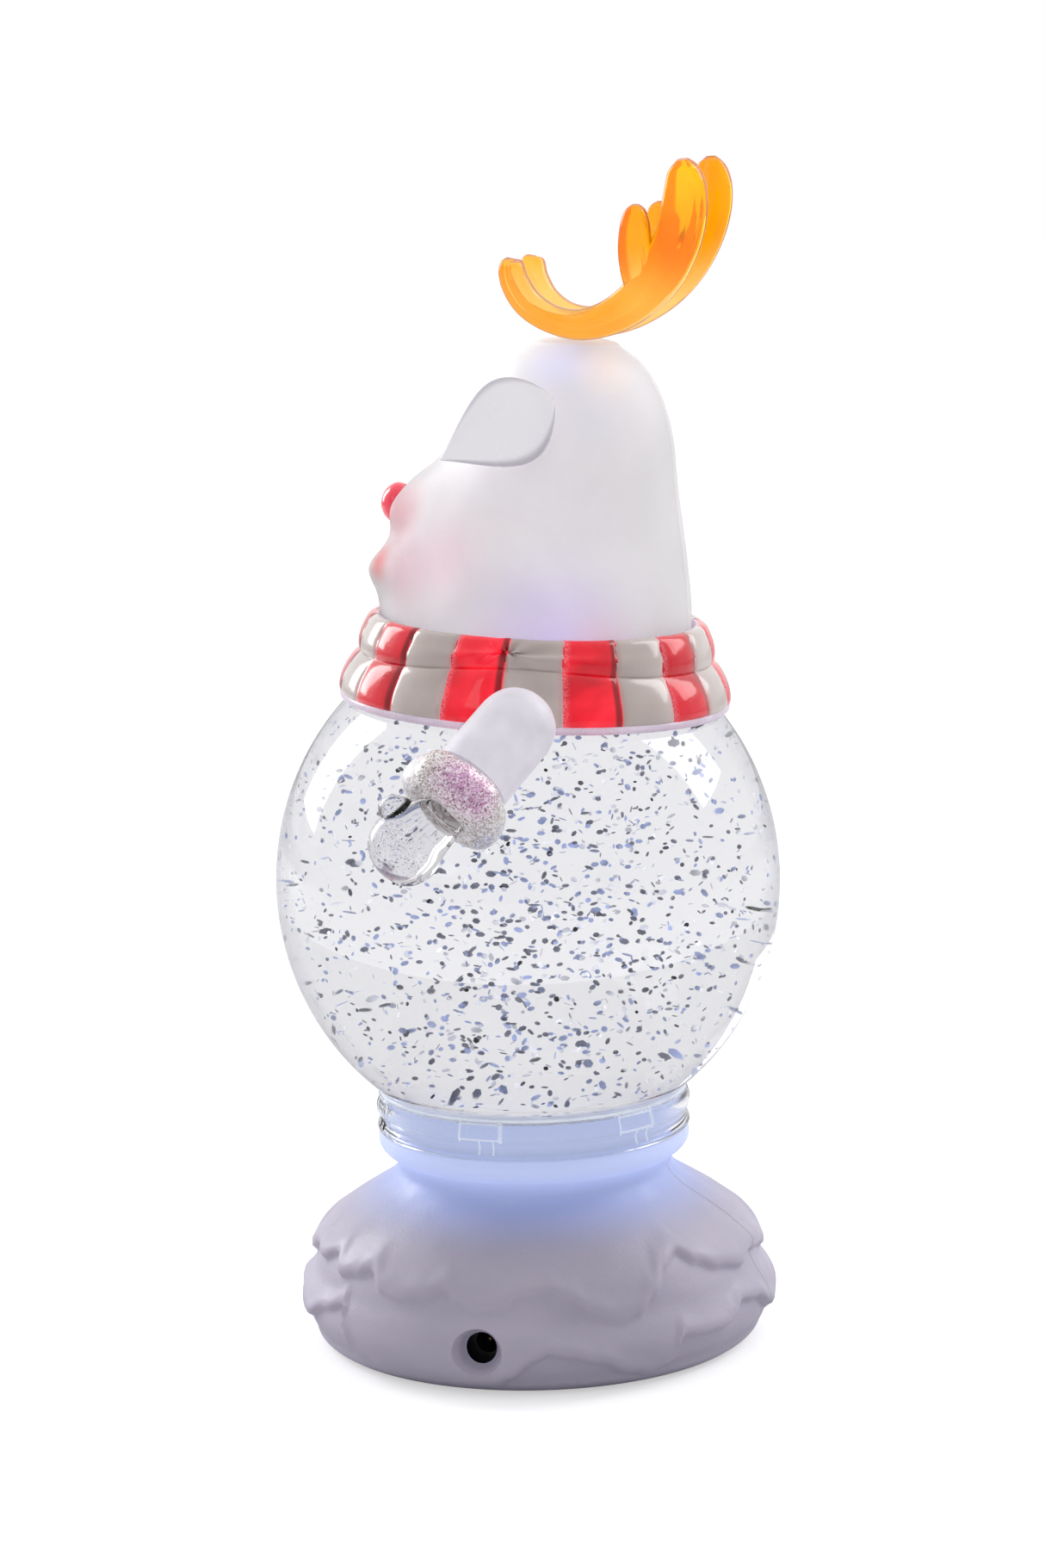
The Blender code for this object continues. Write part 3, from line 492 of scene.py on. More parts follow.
def red_paint():
    """Glossy red lacquer on a translucent block, with a painted dark shade at one side of each block, a paler
    pink speckled band at the other, and a painted red glow on the +X side.
    """
    made = Paint("scarf_red", (0.8, 0.02, 0.05), 0.14, Coat_Weight=0.45, Coat_Roughness=0.05,
                 Specular_IOR_Level=0.3)
    patches = made.noise(75.0, 4.0, distortion=0.6)
    base = made.ramp(patches, ((0.3, (0.56, 0.008, 0.02)), (0.5, (0.82, 0.012, 0.03)),
                               (0.72, (0.95, 0.03, 0.06))))
    across = made.attribute("across")
    # Painted shade: a dark band down one side of each red block.
    shade = made.spread(across, 0.85, 0.9)
    edge = made.spread(across, 0.0, 0.16, 1.0, 0.0)
    # A paler pink speckled band down the other side.
    pale_speckle = made.times(edge, made.spread(made.noise(2600.0), 0.3, 0.7))
    made.colour(made.mix(pale_speckle, made.mix(shade, base, (0.34, 0.008, 0.016)), (0.95, 0.3, 0.36)))
    # Painted glow: red light given off by the blocks on the +X side, though the scarf is no lamp.
    lit = made.times(made.near(on_figure((44.0, 12.0, 45.0)), 44.0),
                     made.spread(across, 0.84, 0.93, 1.0, 0.1))
    made.glow(made.times(lit, made.spread(patches, 0.25, 0.7, 0.25, 0.65)), (1.0, 0.012, 0.03))
    made.relief(made.spread(made.cells(2600.0), 0.1, 0.5), 0.00002, 0.5)
    made.relief(made.noise(240.0, 2.0), 0.00012, 0.6)
    return made


def grey_paint():
    """Warm grey-white block of the scarf, pinker beside its red neighbours."""
    made = Paint("scarf_white", (0.6, 0.54, 0.52), 0.2, Coat_Weight=0.6, Coat_Roughness=0.12,
                 Specular_IOR_Level=0.3)
    base = made.ramp(made.noise(60.0, 2.0), ((0.3, (0.53, 0.44, 0.41)), (0.7, (0.68, 0.6, 0.57))))
    across = made.attribute("across")
    beside = made.spread(made.maths("ABSOLUTE", made.maths("SUBTRACT", across, 0.5), 0.0), 0.4, 0.5)
    made.colour(made.mix(made.times(beside, 0.6), base, (0.8, 0.34, 0.36)))
    made.relief(made.noise(900.0, 2.0), 0.00003)
    return made


def cuff_paint():
    """Silver and brown glitter with a magenta patch on the outward side."""
    made = Paint("glitter_coat", (0.6, 0.52, 0.56), 0.35, Metallic=0.35, Coat_Weight=0.5,
                 Coat_Roughness=0.25)
    pick = made.node("ShaderNodeSeparateColor")
    made.link(made.cells(3000.0, "Color"), pick.inputs["Color"])
    plain = made.ramp(pick.outputs["Red"], ((0.0, (0.24, 0.17, 0.15)), (0.3, (0.62, 0.53, 0.5)),
                                            (0.6, (0.84, 0.8, 0.8)), (0.95, (1.0, 0.98, 1.0))))
    pink = made.ramp(pick.outputs["Red"], ((0.0, (0.3, 0.16, 0.2)), (0.4, (0.78, 0.32, 0.7)),
                                           (0.7, (0.88, 0.62, 0.8)), (0.95, (1.0, 0.9, 1.0))))
    pale = made.ramp(pick.outputs["Red"], ((0.0, (0.46, 0.45, 0.5)), (0.5, (0.8, 0.8, 0.86)),
                                           (0.95, (0.9, 0.9, 0.95))))
    mixed = plain
    for _, side in SIDES:
        for centre, reach, tint in (((71.4, 4.3, 34.5), 8.0, pink), ((71.0, 8.3, 31.0), 7.0, pink),
                                    ((63.9, -7.4, 35.4), 9.5, pale), ((61.7, 9.8, 22.2), 9.5, pale)):
            mixed = made.mix(made.near(on_figure(centre, side), reach), mixed, tint)
    made.colour(mixed)
    made.gloss(pick.outputs["Green"], 0.25, 0.6)
    made.relief(pick.outputs["Blue"], 0.0001, 0.8)
    # Painted glints: the brightest glitter cells give off a little light.
    made.glow(made.spread(pick.outputs["Green"], 0.5, 0.9, 0.0, 0.1), (1.0, 0.9, 0.97))
    return made


def flake_paint(name, colour, roughness, metallic, glow):
    """Foil of one kind of glitter flake, each piece a little different."""
    made = Paint(name, colour, roughness, Metallic=metallic, Transmission_Weight=0.5, IOR=1.15)
    shade = made.noise(420.0, 1.0)
    # Painted glow: each flake gives off light in its own colour, though it is no lamp.
    made.glow(made.spread(shade, 0.3, 0.7, 0.7 * glow, 1.3 * glow), colour)
    made.colour(made.ramp(shade, ((0.3, tone(colour, 0.6)), (0.5, colour), (0.7, tone(colour, 1.35)))))
    return made


def plain_paint(name, colour, roughness, grain, depth, **sockets):
    """Moulded or metal stock with slight colour change, gloss change and grain."""
    made = Paint(name, colour, roughness, **sockets)
    made.colour(made.ramp(made.noise(110.0), ((0.3, tone(colour, 0.82)), (0.7, tone(colour, 1.12)))))
    made.gloss(made.noise(240.0), max(0.02, roughness - 0.07), roughness + 0.07)
    made.relief(made.noise(grain, 2.0), depth)
    return made


def brushed_paint(name, colour, roughness):
    """Drawn metal with fine lines round it."""
    made = Paint(name, colour, roughness, Metallic=1.0)
    lines = made.noise(500.0, 2.0, (1.0, 1.0, 12.0))
    made.colour(made.ramp(lines, ((0.3, tone(colour, 0.75)), (0.7, colour))))
    made.gloss(lines, roughness - 0.08, roughness + 0.12)
    made.relief(lines, 0.00003, 0.6)
    return made


def board_paint():
    """Green circuit board with copper tracks under the lacquer."""
    made = Paint("board", (0.04, 0.24, 0.1), 0.35, Coat_Weight=0.4, Coat_Roughness=0.2)
    tracks = made.spread(made.cells(260.0, "Distance", "DISTANCE_TO_EDGE"), 0.03, 0.07, 1.0, 0.0)
    made.colour(made.mix(tracks, (0.03, 0.2, 0.08), (0.1, 0.42, 0.16)))
    made.relief(tracks, 0.00005)
    return made


def cell_paint():
    """Printed sleeve of a dry cell: a dark body and a copper end band."""
    made = Paint("cell_wrap", (0.1, 0.17, 0.38), 0.25, Coat_Weight=0.8, Coat_Roughness=0.1)
    band = made.spread(made.maths("ABSOLUTE", made.axis("Y"), 0.0), 0.0135, 0.014)
    scuffs = made.ramp(made.noise(160.0), ((0.3, (0.07, 0.12, 0.3)), (0.7, (0.12, 0.2, 0.44))))
    made.colour(made.mix(band, scuffs, (0.62, 0.36, 0.16)))
    made.relief(made.noise(500.0, 2.0), 0.00004)
    return made


def lens_paint():
    """Lit lamp: pale blue light from a domed lens."""
    made = Paint("led_lens", (0.8, 0.85, 1.0), 0.1, Transmission_Weight=0.5)
    made.glow(made.spread(made.noise(600.0), 0.3, 0.7, 5.0, 8.0), (0.55, 0.65, 1.0))
    made.relief(made.noise(700.0), 0.00003)
    return made


def all_paints():
    """Every finish by name."""
    return {
        "snow": snow_paint(),
        "cover": plain_paint("cover_plastic", (0.66, 0.65, 0.7), 0.5, 1300.0, 0.00006),
        # The last colour of each clear paint is its painted edge shade; the hand's is darkest.
        "clear": clear_paint("clear_plastic", 1.49, (0.94, 0.94, 0.96), 0.01, (0.56, 0.56, 0.66)),
        "wet": clear_paint("wet_wall", 1.12, (0.85, 0.85, 0.86), 0.0, (0.78, 0.78, 0.82)),
        "stirred": clear_paint("sunk_plastic", 1.12, (0.98, 0.98, 1.0), 0.02, (0.9, 0.9, 0.94)),
        "hand": clear_paint("hand_plastic", 1.49, (0.86, 0.85, 0.87), 0.01, (0.22, 0.2, 0.28)),
        "collar": clear_paint("collar_plastic", 1.3, (0.98, 0.98, 1.0), 0.05, (0.95, 0.96, 1.0)),
        # Painted glow: the collar bead gives off pale blue light.
        "bead": plain_paint("collar_bead", (0.86, 0.89, 1.0), 0.15, 900.0, 0.00003, Transmission_Weight=0.55,
                            Emission_Color=(0.85, 0.9, 1.0, 1.0), Emission_Strength=0.2),
        "frosted": head_paint(),
        # Painted glow: the sleeve gives off pale light.
        "sleeve": plain_paint("sleeve_plastic", (0.78, 0.76, 0.81), 0.45, 1800.0, 0.00004,
                              Transmission_Weight=0.4, Emission_Color=(0.94, 0.92, 1.0, 1.0),
                              Emission_Strength=0.14),
        "ear": ear_paint(),
        "amber": amber_paint(),
        "red": red_paint(),
        "grey": grey_paint(),
        # Painted glow: the scarf rim gives off pale light.
        "rim": plain_paint("scarf_rim", (0.86, 0.76, 0.88), 0.25, 900.0, 0.00004, Transmission_Weight=0.4,
                           Emission_Color=(0.9, 0.8, 1.0, 1.0), Emission_Strength=0.12),
        # Painted glow: the nose gives off red light.
        "nose": plain_paint("nose_plastic", (0.8, 0.04, 0.08), 0.15, 300.0, 0.00001, Coat_Weight=0.6,
                            Emission_Color=(1.0, 0.06, 0.1, 1.0), Emission_Strength=0.3),
        "cuff": cuff_paint(),
        "flake_dark": flake_paint("flake_dark", (0.03, 0.03, 0.04), 0.35, 0.8, 0.0),
        "flake_slate": flake_paint("flake_slate", (0.26, 0.27, 0.34), 0.4, 0.1, 0.12),
        "flake_blue": flake_paint("flake_blue", (0.42, 0.48, 0.7), 0.4, 0.1, 0.22),
        "flake_silver": flake_paint("flake_silver", (0.76, 0.77, 0.83), 0.3, 0.1, 0.28),
        "rubber": plain_paint("rubber", (0.07, 0.07, 0.075), 0.8, 700.0, 0.0001),
        "steel": brushed_paint("steel", (0.62, 0.62, 0.64), 0.28),
        "brass": brushed_paint("brass", (0.75, 0.56, 0.25), 0.3),
        "black": plain_paint("black_plastic", (0.016, 0.016, 0.018), 0.42, 900.0, 0.00006),
        "board": board_paint(),
        "lens": lens_paint(),
        "cell": cell_paint(),
        "magnet": plain_paint("magnet", (0.16, 0.16, 0.17), 0.35, 1500.0, 0.00005, Metallic=0.8),
        "lead": plain_paint("lead", (0.5, 0.04, 0.04), 0.45, 600.0, 0.00005),
    }


# ---------------------------------------------------------------- base

LUG_PHASE = -4.0
LUG_PITCH = 60.0
BASE_OUTLINE = (
    (46.8, 0.8), (49.6, 2.8), (51.8, 6.0), (52.6, 9.8), (51.8, 13.4), (49.9, 16.8),
    (48.6, 20.0), (46.6, 24.0), (42.8, 28.2), (37.8, 32.2), (33.2, 35.4), (30.7, 38.4),
    (31.6, 41.0), (33.8, 42.8), (34.7, 44.8), (34.3, 47.0),
)
UPPER_EDGE = (                 # degrees round from +X, height of the upper drift's hanging edge
    (-64, 22.7), (-58, 21.4), (-49, 24.0), (-44, 20.4), (-37, 21.7), (-32, 23.2), (-27, 19.8),
    (-21, 18.9), (-14, 19.9), (-8, 21.6), (-4, 19.3), (1, 18.0), (7, 18.7), (11, 20.7), (18, 22.0),
    (24, 19.8), (29, 17.0), (36, 15.2), (41, 16.0), (46, 19.6), (51, 24.2), (57, 26.6), (62, 23.8),
    (69, 21.6), (80, 19.8), (87, 21.4), (96, 20.2), (110, 17.4), (120, 22.8), (134, 16.6),
    (150, 21.4), (161, 18.2), (172, 22.8), (186, 17.0), (200, 21.4), (214, 16.2), (228, 23.2),
    (241, 18.6), (256, 17.4), (268, 22.6), (281, 18.6), (296, 22.7),
)
LOWER_EDGE = (                 # the same for the lower drift's edge
    (-70, 12.7), (-58, 8.5), (-48, 12.4), (-40, 14.6), (-37, 8.0), (-33, 3.0), (-27, -1.5), (-8, -1.5),
    (-2, 0.8), (4, 1.0), (9, 4.4), (15, 8.6), (18, 10.0), (23, 9.0), (30, 7.4), (38, 4.0),
    (44, 2.4), (49, 4.0), (52, 10.4), (58, 9.6), (66, 9.4), (70, 10.4), (74, 13.2), (82, 12.0),
    (92, 8.0), (100, 5.6), (110, 10.0), (120, 12.8), (125, 7.0), (136, 2.6), (150, 1.6), (160, 7.0),
    (170, 11.2), (181, 9.0), (190, 3.6), (202, 1.2), (213, 3.2), (222, 9.4), (232, 12.8),
    (240, 8.4), (252, 3.4), (262, 2.6), (272, 8.4), (282, 12.6), (290, 12.7),
)


def edge_at(table, degrees):
    """Height of a hanging edge at an angle, eased between the table's points."""
    start = table[0][0]
    degrees = start + (degrees - start) % 360.0
    for (a, low), (b, high) in zip(table, table[1:] + ((start + 360, table[0][1]),)):
        if a <= degrees <= b:
            return low + (high - low) * smoothstep(degrees, a, b)
    return table[0][1]


def drift_radius(radius, turn, height):
    """The snow drift's surface: two tiers that hang over each other along scalloped edges."""
    degrees = math.degrees(turn)
    upper = edge_at(UPPER_EDGE, degrees)
    lower = edge_at(LOWER_EDGE, degrees)
    crisp = 0.5 + 0.5 * math.cos(math.radians(2.0 * (degrees - 105.0)))
    over = smoothstep(height, upper - 0.9, upper + 0.7 + 0.8 * (1.0 - crisp))
    lip = bell((height - upper - 2.6) / 2.2)
    fade = 1.0 - smoothstep(height, 27.0, 34.5)
    step = (1.9 + 0.6 * crisp) * over * fade - 1.0 * fade + (0.7 + 0.3 * crisp) * lip * fade
    under = smoothstep(height, lower - 0.5, lower + 0.7) * (1.0 - over)
    shelf = 1.1 * under + 0.7 * bell((height - lower - 2.0) / 1.8) * (1.0 - over)
    rim = smoothstep(height, 1.2, 4.5)
    lumps = 0.35 * math.sin(4.0 * turn + 0.35 * height) * math.sin(0.22 * height + 1.0)
    return radius + rim * (step + shelf - 0.45 + lumps * (1.0 - smoothstep(height, 24.0, 32.0)))


def build_base(paints):
    """Snow-drift shell with its neck ring, lugs and power recess."""
    outer = smooth_line(BASE_OUTLINE, 7)
    inside = [(32.2, 47.0), (32.2, 54.2), (31.9, 54.6), (30.6, 54.6), (30.3, 54.3), (30.3, 46.4),
              (28.2, 44.6), (28.2, 38.6), (30.6, 35.0), (39.4, 27.6), (45.4, 19.2), (48.0, 12.8),
              (48.2, 5.6), (44.5, 3.1), (44.5, 0.8)]
    profile = outer + inside
    count = len(outer)

    def shape(k, radius, turn, height):
        if k < count:
            return drift_radius(radius, turn, height), height
        return radius, height

    made = build("snow_base", lathe(profile, 400, shape), (paints["snow"],), "base", "base_shell")
    cut = [(0.0, 7.0), (8.6, 7.0), (6.3, 3.9), (5.3, 2.6), (4.5, 1.2), (3.7, -0.6), (3.3, -1.1),
           (3.1, -1.6), (3.1, -9.0), (0.0, -9.0)]
    carve(made, "recess_tool", lathe(cut, 64), shifted((49.0, 1.2, 10.5)) @ turned(90.0, "Y"), "DIFFERENCE")
    for i in range(6):
        carve(made, f"lug_tool_{i}", lug_block(), turned(LUG_PHASE + LUG_PITCH * i, "Z"), "UNION")
    bake(made)


def lug_block():
    """A bayonet lug with rounded corners, lying along +X."""
    rows = []
    for x in (31.6, 32.7, 32.95):
        inset = 0.25 if x > 32.8 else 0.0
        rows.append([(x, -3.5 + inset, 51.8 + inset), (x, 3.5 - inset, 51.8 + inset),
                     (x, 3.5 - inset, 54.1 - inset), (x, -3.5 + inset, 54.1 - inset)])
    points, faces = skin(rows)
    faces.append((0, 1, 2, 3))
    faces.append((8, 9, 10, 11))
    return points, faces


# ---------------------------------------------------------------- globe

def ball_line(inset, end_z, steps):
    """The ball's outline from the crown down to a height."""
    wide, tall = GLOBE_R - inset, GLOBE_H - inset
    end = math.acos((end_z - GLOBE_Z) / tall)
    line = [(wide * math.sin(end * i / steps), GLOBE_Z + tall * math.cos(end * i / steps))
            for i in range(steps + 1)]
    line[0] = (0.0, GLOBE_Z + tall)
    return line


def build_globe(paints):
    """Thick clear ball with its neck; its inner faces meet the water."""
    outside = ball_line(0.0, 56.9, 72)
    neck = [(NECK_R + 0.25, 56.4), (NECK_R, 56.0), (NECK_R, 48.6), (NECK_R - 0.4, 48.2),
            (27.9, 48.2), (27.6, 48.5), (27.6, 57.0)]
    inside = ball_line(WALL, 59.0, 72)
    profile = outside + neck + inside[::-1]
    count = 176
    points, faces = lathe(profile, count)
    dry = (len(outside) + len(neck) - 2) * count
    marks = [int(i >= dry) for i in range(len(faces))]
    build("globe_ball", (points, faces), (paints["clear"], paints["wet"]), "globe", "globe_shell",
          face_paint=marks)


FLAKE_COUNT = 3000
FLAKE_MARGIN = 4.0             # mm from the ball's outside
FLAKE_FLOOR = 61.5             # mm above the table


def build_flakes(paints):
    """Hexagonal foil flakes carried round by the stirred water."""
    dice = random.Random(41)
    kinds = ("flake_silver", "flake_blue", "flake_slate", "flake_dark")
    weights = (0.28, 0.37, 0.31, 0.04)
    points = []
    faces = []
    marks = []
    made = 0
    while made < FLAKE_COUNT:
        spot = Vector((dice.uniform(-1, 1), dice.uniform(-1, 1), dice.uniform(-1, 1)))
        if spot.length > 1.0:
            continue
        place = Vector((spot.x * (GLOBE_R - FLAKE_MARGIN), spot.y * (GLOBE_R - FLAKE_MARGIN),
                        GLOBE_Z + spot.z * (GLOBE_H - FLAKE_MARGIN)))
        if place.z < FLAKE_FLOOR:
            continue
        made += 1
        kind = dice.choices(range(len(kinds)), weights)[0]
        half = dice.uniform(0.34, 0.52)
        longer = 1.0 if kinds[kind] == "flake_dark" else dice.uniform(1.0, 1.8)
        swirl = Vector((-place.y, place.x, dice.uniform(-12.0, 12.0))).normalized()
        tilt = Vector((dice.gauss(0, 1), dice.gauss(0, 1), dice.gauss(0, 1))).normalized()
        normal = (swirl.cross(tilt) + tilt * 0.35).normalized()
        second = normal.cross(swirl).normalized()
        first = second.cross(normal)
        start = len(points)
        for level in (-0.035, 0.035):
            for i in range(6):
                turn = math.pi * i / 3.0
                points.append(place + (first * math.cos(turn) * longer + second * math.sin(turn)) * half
                              + normal * level)
        faces.append(tuple(start + i for i in (5, 4, 3, 2, 1, 0)))
        faces.append(tuple(start + 6 + i for i in range(6)))
        for i in range(6):
            j = (i + 1) % 6
            faces.append((start + i, start + j, start + 6 + j, start + 6 + i))
        marks.extend([kind] * 8)
    mesh = make_mesh("glitter_flakes", (points, faces))
    for kind in kinds:
        mesh.materials.append(paints[kind].material)
    mesh.polygons.foreach_set("material_index", marks)
    flakes = add_object("glitter_flakes", mesh)
    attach(flakes, "globe")
    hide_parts("glitter_liquid")


def build_collar(paints):
    """Clear bayonet ring with its bead, crease and moulded windows."""
    outside = [(33.0, 56.2), (33.5, 56.0), (33.75, 55.2), (33.9, 54.2), (34.25, 53.2), (34.4, 52.2),
               (34.2, 51.2), (33.8, 50.4), (33.75, 49.6), (34.1, 48.8), (34.4, 48.0), (34.3, 47.4),
               (34.0, 47.3)]
    outer = smooth_line(outside, 4)
    inside = [(32.9, 47.3), (32.7, 47.5), (32.7, 51.2), (32.85, 51.3), (33.4, 51.35), (33.4, 54.85),
              (33.2, 55.0), (30.1, 55.1), (29.9, 55.3), (29.9, 56.0), (30.1, 56.2)]
    profile = outer + inside
    count = len(outer)

    def ridge(turn, height):
        degrees = (math.degrees(turn) - LUG_PHASE + LUG_PITCH / 2.0) % LUG_PITCH - LUG_PITCH / 2.0
        along = math.radians(degrees) * 34.2
        line = 0.0
        if 51.0 < height < 55.6:
            line = bell((abs(along) - 4.6) / 0.3)
        if abs(along) < 4.8:
            line = max(line, bell((height - 55.0) / 0.3), bell((height - 51.6) / 0.3))
        if 48.4 < height < 51.4:
            line = max(line, bell((abs(along - 1.6) - 1.6) / 0.25))
        return line

    def shape(k, radius, turn, height):
        if k >= count:
            return radius, height
        return radius + 0.3 * ridge(turn, height), height

    sides = 480
    points, faces = lathe(profile, sides, shape)
    marks = []
    for i in range(len(faces)):
        k, j = divmod(i, sides)
        turn = 2.0 * math.pi * (j + 0.5) / sides
        height = 0.5 * (profile[k][1] + profile[(k + 1) % len(profile)][1])
        beaded = k < count - 1 and ridge(turn, height) > 0.45
        marks.append(int(beaded or height > 55.4))
    build("clear_collar", (points, faces), (paints["collar"], paints["bead"]), "globe", "globe_collar",
          face_paint=marks)


# ---------------------------------------------------------------- figure

SCARF_START = 5.3              # degrees round from +X to the first block's edge
BLOCK_TURN = 18.0
SCARF_OUTLINE = (
    (34.4, 58.0), (35.8, 57.2), (37.3, 54.4), (38.3, 51.0), (38.4, 49.4), (39.6, 48.2),
    (41.3, 44.8), (42.2, 41.2), (41.6, 39.3),
)


def build_scarf(paints):
    """Padded ring of red and grey blocks in two rows, pinched at one side."""
    top = smooth_line(((34.3, 57.8), (34.8, 58.0), (35.9, 57.2), (37.2, 54.6), (38.0, 52.0), (38.2, 49.8)), 6)
    low = smooth_line(((38.2, 49.8), (39.4, 48.2), (40.9, 45.4), (41.8, 42.6), (42.1, 40.9)), 7)
    rim = smooth_line(((42.1, 40.9), (42.2, 40.2), (41.9, 39.5), (41.5, 39.2), (41.0, 39.2)), 3)
    outer = top[:-1] + low[:-1] + rim
    inside = [(40.7, 39.5), (39.4, 41.6), (37.2, 44.6), (35.2, 47.8), (34.0, 50.4), (34.0, 57.4)]
    profile = outer + inside
    crease = len(top) - 1
    flange = len(top) + len(low) - 2
    count = 720

    def column_at(degrees, k):
        slant = 1.6 * (k / crease - 1.0) if k < crease else 0.0
        return (degrees + slant - SCARF_START) / BLOCK_TURN

    def shape(k, radius, turn, height):
        if k > flange:
            return radius, height
        degrees = math.degrees(turn)
        column = column_at(degrees, k) % 1.0
        across = min(1.0, math.sin(math.pi * column) ** 0.28 * 1.03)
        row = k / crease if k < crease else (k - crease) / (flange - crease)
        down = min(1.0, math.sin(math.pi * row) ** 0.55 * 1.05) if 0.0 < row < 1.0 else 0.0
        puff = 0.7 * across * down + 0.25 * across - 0.3
        around = (degrees + 180.0) % 360.0
        lift = 2.4 * bell(around / 32.0 - 190.0 / 32.0) * smoothstep(height, 46.0, 50.0)
        lift *= 1.0 - smoothstep(height, 52.0, 56.0)
        knot = (math.radians(around - 186.0) * 38.0, height - 54.6)
        reach = math.hypot(*knot)
        folds = 0.9 * bell(reach / 8.0) * (0.5 + 0.5 * math.cos(7.0 * math.atan2(knot[1], knot[0])))
        boss = (math.radians(around - 189.5) * 40.0, height - 49.4)
        ring = bell((math.hypot(boss[0] / 1.7, boss[1] / 2.4) - 1.0) / 0.22)
        return radius + puff - folds + 0.3 * ring, height + lift

    points, faces = lathe(profile, count, shape)
    marks = []
    for i in range(len(faces)):
        k, j = divmod(i, count)
        column = math.floor(column_at((j + 0.5) * 360.0 / count, k))
        if k >= flange or k == 0:
            marks.append(2)
        else:
            marks.append(1 - column % 2)
    made = build("scarf_blocks", (points, faces), (paints["red"], paints["grey"], paints["rim"]), "globe",
                 "scarf_ring", FIGURE, marks)
    ways = [column_at(i % count * 360.0 / count, i // count) % 1.0 for i in range(len(points))]
    made.data.attributes.new("across", "FLOAT", "POINT").data.foreach_set("value", ways)


HEAD_LEVELS = (
    (52.5, -33.2, 33.2, 0.0), (57.0, -33.0, 33.2, 1.0), (62.0, -32.0, 33.0, 2.4),
    (67.0, -30.8, 32.4, 5.0), (73.0, -29.0, 31.5, 4.2), (80.0, -26.3, 30.3, 5.0),
    (86.0, -23.4, 29.3, 5.2), (91.0, -20.8, 28.6, 2.2), (97.0, -17.8, 27.8, 0.6),
    (103.0, -14.6, 26.2, 0.0), (109.0, -11.2, 23.6, 0.0), (113.6, -7.6, 20.2, 0.0),
    (116.8, -2.6, 15.6, 0.0),
)
HEAD_TOP = (7.0, 118.2)
FACE_SWELLS = (                # side offset, height, reach and rise of the snout's soft forms, mm
    (9.5, 67.0, 6.0, 1.9), (0.0, 61.5, 5.0, 0.7), (8.5, 80.5, 5.0, 2.2),
    (18.5, 71.5, 6.5, 1.0), (5.0, 74.5, 3.4, -1.3), (14.5, 75.4, 3.4, -0.9), (15.5, 64.0, 3.4, -0.7),
)


def head_point(level, turn, inset):
    """A point of the head's skin; turn runs from the front (0) to the back (pi)."""
    height, front, back, snout = level
    middle = 0.5 * (front + back)
    half = 0.5 * (back - front) - inset
    forward = math.cos(turn)
    bulge = snout * max(0.0, forward) ** 4
    x = half * math.sin(turn)
    if forward > 0.0 and inset == 0.0:
        for side, z, reach, rise in FACE_SWELLS:
            bulge += rise * bell(math.hypot(x - side, height - z) / reach) * min(1.0, 2.0 * forward)
    rise = (height - HEAD_LEVELS[0][0]) / (HEAD_TOP[1] - HEAD_LEVELS[0][0])
    return x, middle - half * forward - bulge, height - inset * rise ** 2


def build_head(paints):
    """Two hollow frosted halves that meet at the parting plane."""
    levels = smooth_line(HEAD_LEVELS, 6)
    last = levels[-1]
    crown = []
    for i in range(1, 12):
        turn = 0.5 * math.pi * i / 12.0
        drop = last[0] + (HEAD_TOP[1] - last[0]) * math.sin(turn)
        keep = math.cos(turn) ** 0.75
        crown.append((drop, HEAD_TOP[0] + (last[1] - HEAD_TOP[0]) * keep,
                      HEAD_TOP[0] + (last[2] - HEAD_TOP[0]) * keep, 0.0))
    levels += crown
    steps = 84
    for label, side in SIDES:
        skins = []
        for inset in (0.0, HEAD_WALL):
            rows = []
            for level in levels:
                rows.append([(side * (p[0] + 0.15), p[1], p[2])
                             for p in (head_point(level, math.pi * i / steps, inset)
                                       for i in range(steps + 1))])
            skins.append(rows)
        build(f"head_skin_{label}", closed_pair(*skins), (paints["frosted"],), "globe", f"head_{label}",
              FIGURE, sharp_deg=60.0)


def closed_pair(outer, inner):
    """Two open sheets of the same size joined round all four edges into one closed body."""
    points = []
    index = []
    for sheet in (outer, inner):
        grid = []
        for row in sheet:
            grid.append(list(range(len(points), len(points) + len(row))))
            points.extend(row)
        index.append(grid)
    faces = []
    rows, columns = len(outer), len(outer[0])
    for grid in index:
        for r in range(rows - 1):
            for c in range(columns - 1):
                faces.append((grid[r][c], grid[r][c + 1], grid[r + 1][c + 1], grid[r + 1][c]))
    rim = [(0, c) for c in range(columns)] + [(r, columns - 1) for r in range(1, rows)]
    rim += [(rows - 1, c) for c in range(columns - 2, -1, -1)] + [(r, 0) for r in range(rows - 2, 0, -1)]
    for (r0, c0), (r1, c1) in zip(rim, rim[1:] + rim[:1]):
        faces.append((index[0][r0][c0], index[0][r1][c1], index[1][r1][c1], index[1][r0][c0]))
    return points, faces


EAR_ROOT = (21.2, 7.4, 107.0)
NOSE_SEAT = (0.0, -32.4, 80.4)


